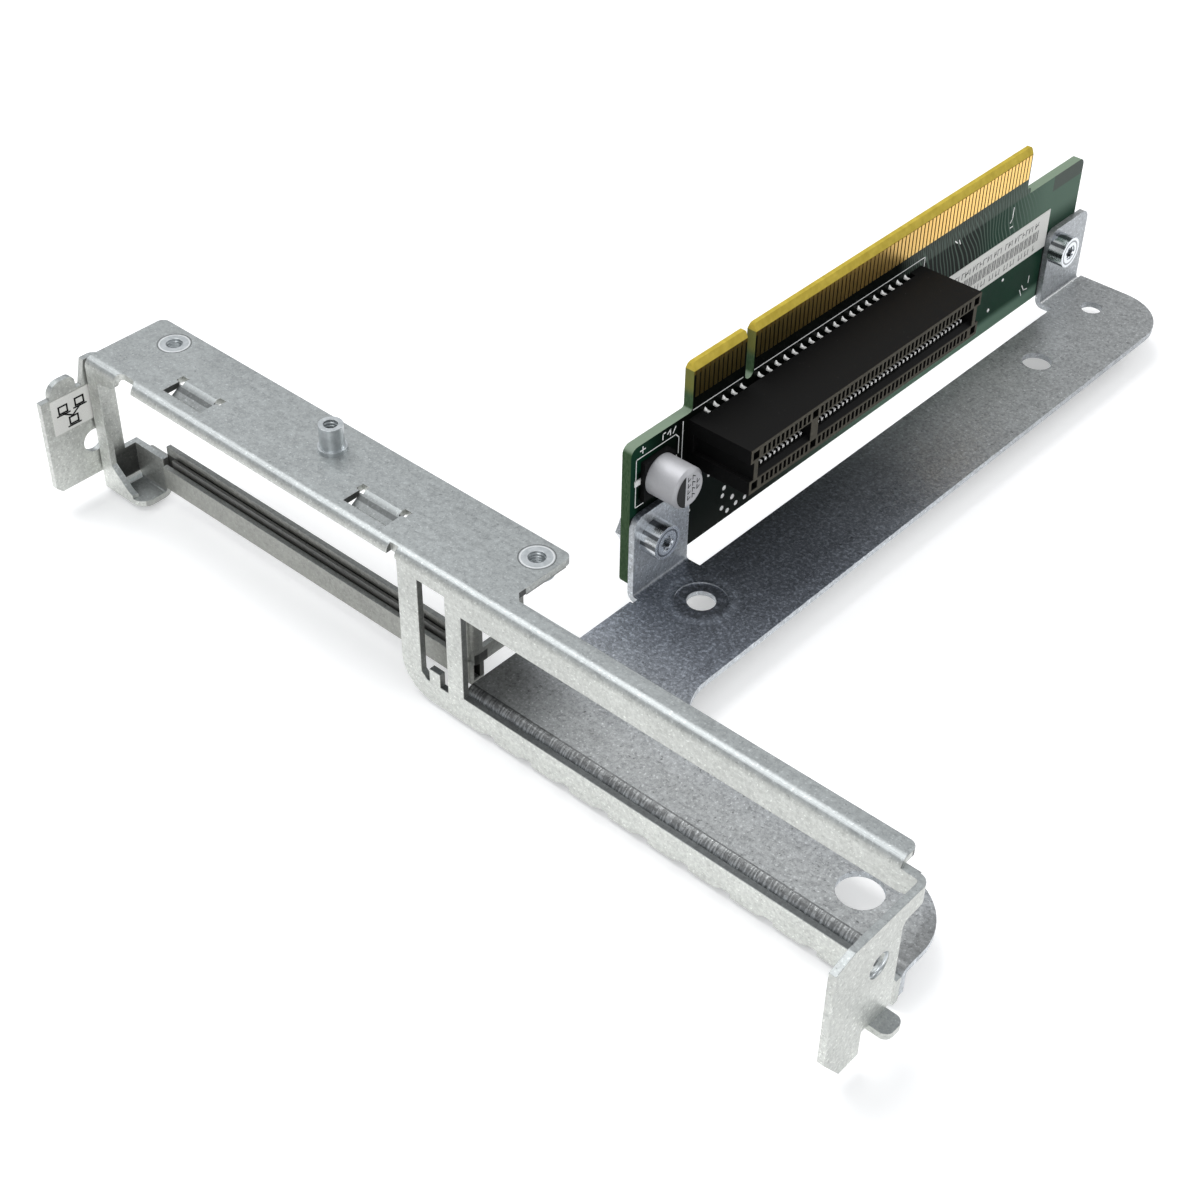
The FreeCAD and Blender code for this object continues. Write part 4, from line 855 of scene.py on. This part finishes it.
# %% Solder domes
dome_steps = 14
dome_rise = 0.12
domes = Shape()
for along, up, radius in (
    (21.3, 6.0, 0.42),
    (21.0, 4.7, 0.40),
    (23.4, 3.2, 0.45),
    (21.0, 2.4, 0.42),
    (24.4, 1.5, 0.42),
    (22.4, 1.2, 0.42),
    (26.5, 1.4, 0.38),
    (17.4, 10.5, 0.32),
    (13.2, 6.4, 0.28),
    (94.5, 8.6, 0.30),
    (91.2, 4.2, 0.34),
    (98.0, 12.0, 0.22),
):
    spot = (board_front + along, board_floor + up)
    shoulder = (board_face + 0.07, radius * 0.75)
    domes.turned(spot, [(board_face, radius), shoulder, (board_face + dome_rise, 0.0001)], dome_steps)
domes.piece("solder_domes", tin, True)
print("solder domes:", len(domes.faces) // (2 * dome_steps))

# %% Solder fillets
tail_node = nodes["slot_tails"]
tail_sides = sorted({round((tail_node.matrix_world @ v.co).y / MM, 2) for v in tail_node.data.vertices})
foot = board_face + 0.30
fillet_rise = 0.40
fillet_narrowing = 0.14
fillets = Shape()
for left, right in zip(tail_sides[0::2], tail_sides[1::2]):
    for root, rise in ((tails_high[2] / MM, fillet_rise), (tails_low[2] / MM, -fillet_rise)):
        low_left, low_right = (board_face, left, root), (board_face, right, root)
        high_left = (board_face, left + fillet_narrowing, root + rise)
        high_right = (board_face, right - fillet_narrowing, root + rise)
        fillets.face([high_left, high_right, (foot, right, root), (foot, left, root)])
        fillets.face([high_left, (foot, left, root), low_left])
        fillets.face([high_right, low_right, (foot, right, root)])
fillets.piece("solder_fillets", tin)
print("fillets:", len(fillets.faces) // 3)

# %% [markdown]
# ## Label marks
#
# The paper labels carry only generic marks: two rows of short strokes and a row of bars
# on the long one, and three linked squares on the small one. A simple repeating rule sets
# the widths, so the rows look printed without saying anything.

# %% Strokes on the long label
label_level = label_high[0] / MM + PRINT
label_left, label_right = label_low[1] / MM, label_high[1] / MM
label_bottom, label_top = label_low[2] / MM, label_high[2] / MM
upper_top, upper_foot = label_top - 1.2, label_top - 2.15
upper_middle = label_top - 1.7
lower_top, lower_foot = label_bottom + 1.7, label_bottom + 0.75
thin_stroke, stroke, thick_stroke = 0.14, 0.15, 0.16
marks = Shape()
along = label_left + 1.6
step = 0
while along < label_right - 3.0:
    wide = 0.55 if step % 5 else 0.9
    marks.line(label_level, [(along, upper_top), (along, upper_foot)], thick_stroke)
    if step % 3:
        slant_foot = upper_foot if step % 2 else upper_top
        marks.line(label_level, [(along, slant_foot), (along + wide, upper_top)], thin_stroke)
    if step % 4 == 1:
        marks.line(label_level, [(along, upper_middle), (along + wide, upper_middle)], thin_stroke)
    along += wide + 0.42
    step += 1
along = label_left + 2.6
while along < label_right - 3.6:
    marks.line(label_level, [(along, lower_top), (along, lower_foot)], stroke)
    if step % 2:
        marks.line(label_level, [(along, lower_foot), (along + 0.5, lower_foot + 0.2)], thin_stroke)
    along += 0.95 if step % 4 else 1.5
    step += 1
marks.piece("label_strokes", ink)
print("stroke faces:", len(marks.faces))

# %% Bars on the long label
bar_bottom, bar_top = label_bottom + 2.3, label_top - 2.8
bar_widths = (0.14, 0.28, 0.14, 0.42, 0.2)
bar_gaps = (0.2, 0.34, 0.16)
bars = Shape()
along = label_left + 1.8
step = 0
while along < label_right - 3.2:
    end = along + bar_widths[step * step % 5]
    bars.patch(label_level, [(along, bar_bottom), (end, bar_bottom), (end, bar_top), (along, bar_top)])
    along = end + bar_gaps[step % 3]
    step += 1
bars.piece("label_bars", grey_ink)
print("bars:", step)

# %% Linked squares on the small label
icon = Shape()
icon_level = flange_high[0] / MM + PRINT
icon_y = (flange_low[1] + flange_high[1]) / 2 / MM
icon_z = (flange_low[2] + flange_high[2]) / 2 / MM
squares = ((-1.5, 0.9), (1.5, 1.1), (0.1, -1.6))
for over, up in squares:
    y, z = icon_y + over, icon_z + up
    corners = [(y - 0.75, z - 0.55), (y + 0.75, z - 0.55), (y + 0.75, z + 0.65), (y - 0.75, z + 0.65)]
    icon.line(icon_level, corners + [corners[0]], 0.3)
    icon.line(icon_level, [(y - 1.1, z - 0.85), (y + 1.1, z - 0.85)], 0.26)
joint = (icon_y, icon_z - 0.8)
icon.line(icon_level, [(icon_y - 1.5, icon_z + 0.1), joint, (icon_y + 1.5, icon_z + 0.3)], 0.28)
icon.piece("flange_icon", ink)
print("icon squares:", len(squares))

# %% [markdown]
# ## Capacitor end
#
# The end of the can has a black segment that marks the negative side and some printed
# marks beside it.

# %% Capacitor print
stroke_height = 0.65
can_y = (can_low[1] + can_high[1]) / 2 / MM
can_z = (can_low[2] + can_high[2]) / 2 / MM
can_radius = (can_high[2] - can_low[2]) / 2 / MM - 0.35
can_end = can_high[0] / MM + PRINT
segment = []
for step in range(15):
    angle = math.radians(110 + 140 * step / 14)
    segment.append((can_y + can_radius * math.cos(angle), can_z + can_radius * math.sin(angle)))
can_print = Shape()
can_print.patch(can_end, segment)
for row, count in ((1.5, 2), (0.45, 3), (-0.6, 3), (-1.6, 2)):
    for step in range(count):
        y = can_y - 0.45 + 0.95 * step
        foot_z = can_z + row
        start_z = foot_z + stroke_height * (step % 2)
        can_print.line(can_end, [(y, foot_z), (y, foot_z + stroke_height)], stroke)
        can_print.line(can_end, [(y, start_z), (y + 0.5, foot_z + 0.3)], stroke)
can_print.piece("capacitor_print", ink)
print("capacitor print faces:", len(can_print.faces))

# %% [markdown]
# ## Sockets and threads
#
# Each board screw has a six-lobed socket: a collar with a waved hole sits in the round
# recess of the CAD screw. Threads climb the bores of the studs, the boss and the tab, and
# the tips of the screws behind the board. All screws here have the coarse pitch but the
# one in the tab.

# %% Screw sockets
screw_front = screws_high[0] / MM
collar_top = screw_front - 0.12
socket_radius, recess_radius = 0.95, 1.31
coarse_pitch = 0.5
sockets = Shape()
for spot in screw_spots:
    profile = [(screw_front - 1.15, socket_radius), (collar_top, socket_radius), (collar_top, recess_radius)]
    sockets.turned(spot, profile, 48, lobes=((0, 1), 0.16))
sockets.piece("screw_sockets", bright_zinc)
screw_tip = screws_low[0] / MM
tip_core, tip_crest = 1.38, 1.6
screw_tips = Shape()
for spot in screw_spots:
    screw_tips.thread(spot, screw_tip - 0.1, screw_tip + 0.8, coarse_pitch, tip_core, tip_crest)
screw_tips.piece("screw_tip_threads", bright_zinc, True)
print("sockets and threaded tips:", 2 * len(screw_spots))

# %% Threads in the bores
stud_bore = 2.5 / 2
boss_bore = 2.1 / 2
tab_bore = 3.7 / 2
fine_pitch = 0.45
flap_reach = 2.7
threads = Shape("Z")
for spot in stud_spots:
    threads.thread(spot, stud_low[2] / MM, shelf_top - 0.05, coarse_pitch, stud_bore + 0.01, stud_bore - 0.2)
boss_spot = ((boss_low[0] + boss_high[0]) / 2 / MM, (boss_low[1] + boss_high[1]) / 2 / MM)
boss_top = boss_high[2] / MM
threads.thread(boss_spot, boss_top - 3.6, boss_top - 0.15, coarse_pitch, boss_bore + 0.01, boss_bore - 0.18)
threads.piece("bore_threads", stud_zinc, True)
tab_thread = Shape()
tab_face = frame_high[0] / MM - flap_reach
tab_spot = (-44.9, 11.7)
tab_thread.thread(tab_spot, tab_face - gauge, tab_face, fine_pitch, tab_bore + 0.01, tab_bore - 0.25)
tab_thread.piece("tab_thread", stud_zinc, True)
print("threads:", len(stud_spots) + 2)

# %% [markdown]
# ## Floor and light
#
# The part stands on a pale floor that also fills the background. Metal shows what is
# around it, so the light is a broad, even world with three large soft lamps: one high
# on the left, one in front that fills the upright faces, and a weak one behind.

# %% Floor
reach = 40.0
floor_level = lowest - 0.00002
signs = ((-1, -1), (1, -1), (1, 1), (-1, 1))
floor_shape = bpy.data.meshes.new("floor")
floor_shape.from_pydata([(reach * x, reach * y, floor_level) for x, y in signs], [], [(0, 1, 2, 3)])
floor = bpy.data.objects.new("floor", floor_shape)
bpy.context.scene.collection.objects.link(floor)
floor_paint = Finish("floor_paint", (0.83, 0.83, 0.83), 0.8, Emission_Strength=0.30, Specular_IOR_Level=0.1)
floor_paint.put("Emission Color", (1.0, 1.0, 1.0))
floor.data.materials.append(floor_paint.material)
print("floor level %.2f mm" % (floor_level / MM))

# %% World
world = bpy.data.worlds.new("studio")
bpy.context.scene.world = world
world.use_nodes = True
background = world.node_tree.nodes["Background"]
studio = Graph(world.node_tree)
height_of = studio.parts(studio.node("ShaderNodeTexCoord", None, None, "Generated"))[2]
sky = {"Value": height_of, "From Min": 0.05, "From Max": 0.95, "To Min": 0.26, "To Max": 0.80}
studio.join(background.inputs["Strength"], studio.node("ShaderNodeMapRange", None, sky, "Result"))
studio.join(background.inputs["Color"], (0.95, 0.97, 1.0))
print("world nodes:", len(world.node_tree.nodes))

# %% Lamps
def lamp(name, place, target, width, power):
    """A square soft lamp that points at a target."""
    data = bpy.data.lights.new(name, "AREA")
    data.shape = "SQUARE"
    data.size = width
    data.energy = power
    item = bpy.data.objects.new(name, data)
    bpy.context.scene.collection.objects.link(item)
    item.location = place
    item.rotation_euler = (Vector(target) - Vector(place)).to_track_quat("-Z", "Y").to_euler()


centre = (0.0, 0.02, 0.01)
lamp("key_lamp", (-0.5, 0.0, 0.95), centre, width=0.7, power=6.0)
lamp("front_lamp", (0.45, -0.9, 0.35), centre, width=0.6, power=3.2)
lamp("back_lamp", (0.3, 0.9, 0.7), centre, width=0.5, power=3.0)
bpy.context.scene.view_settings.view_transform = "Standard"
print("lamps:", len(bpy.data.lights))
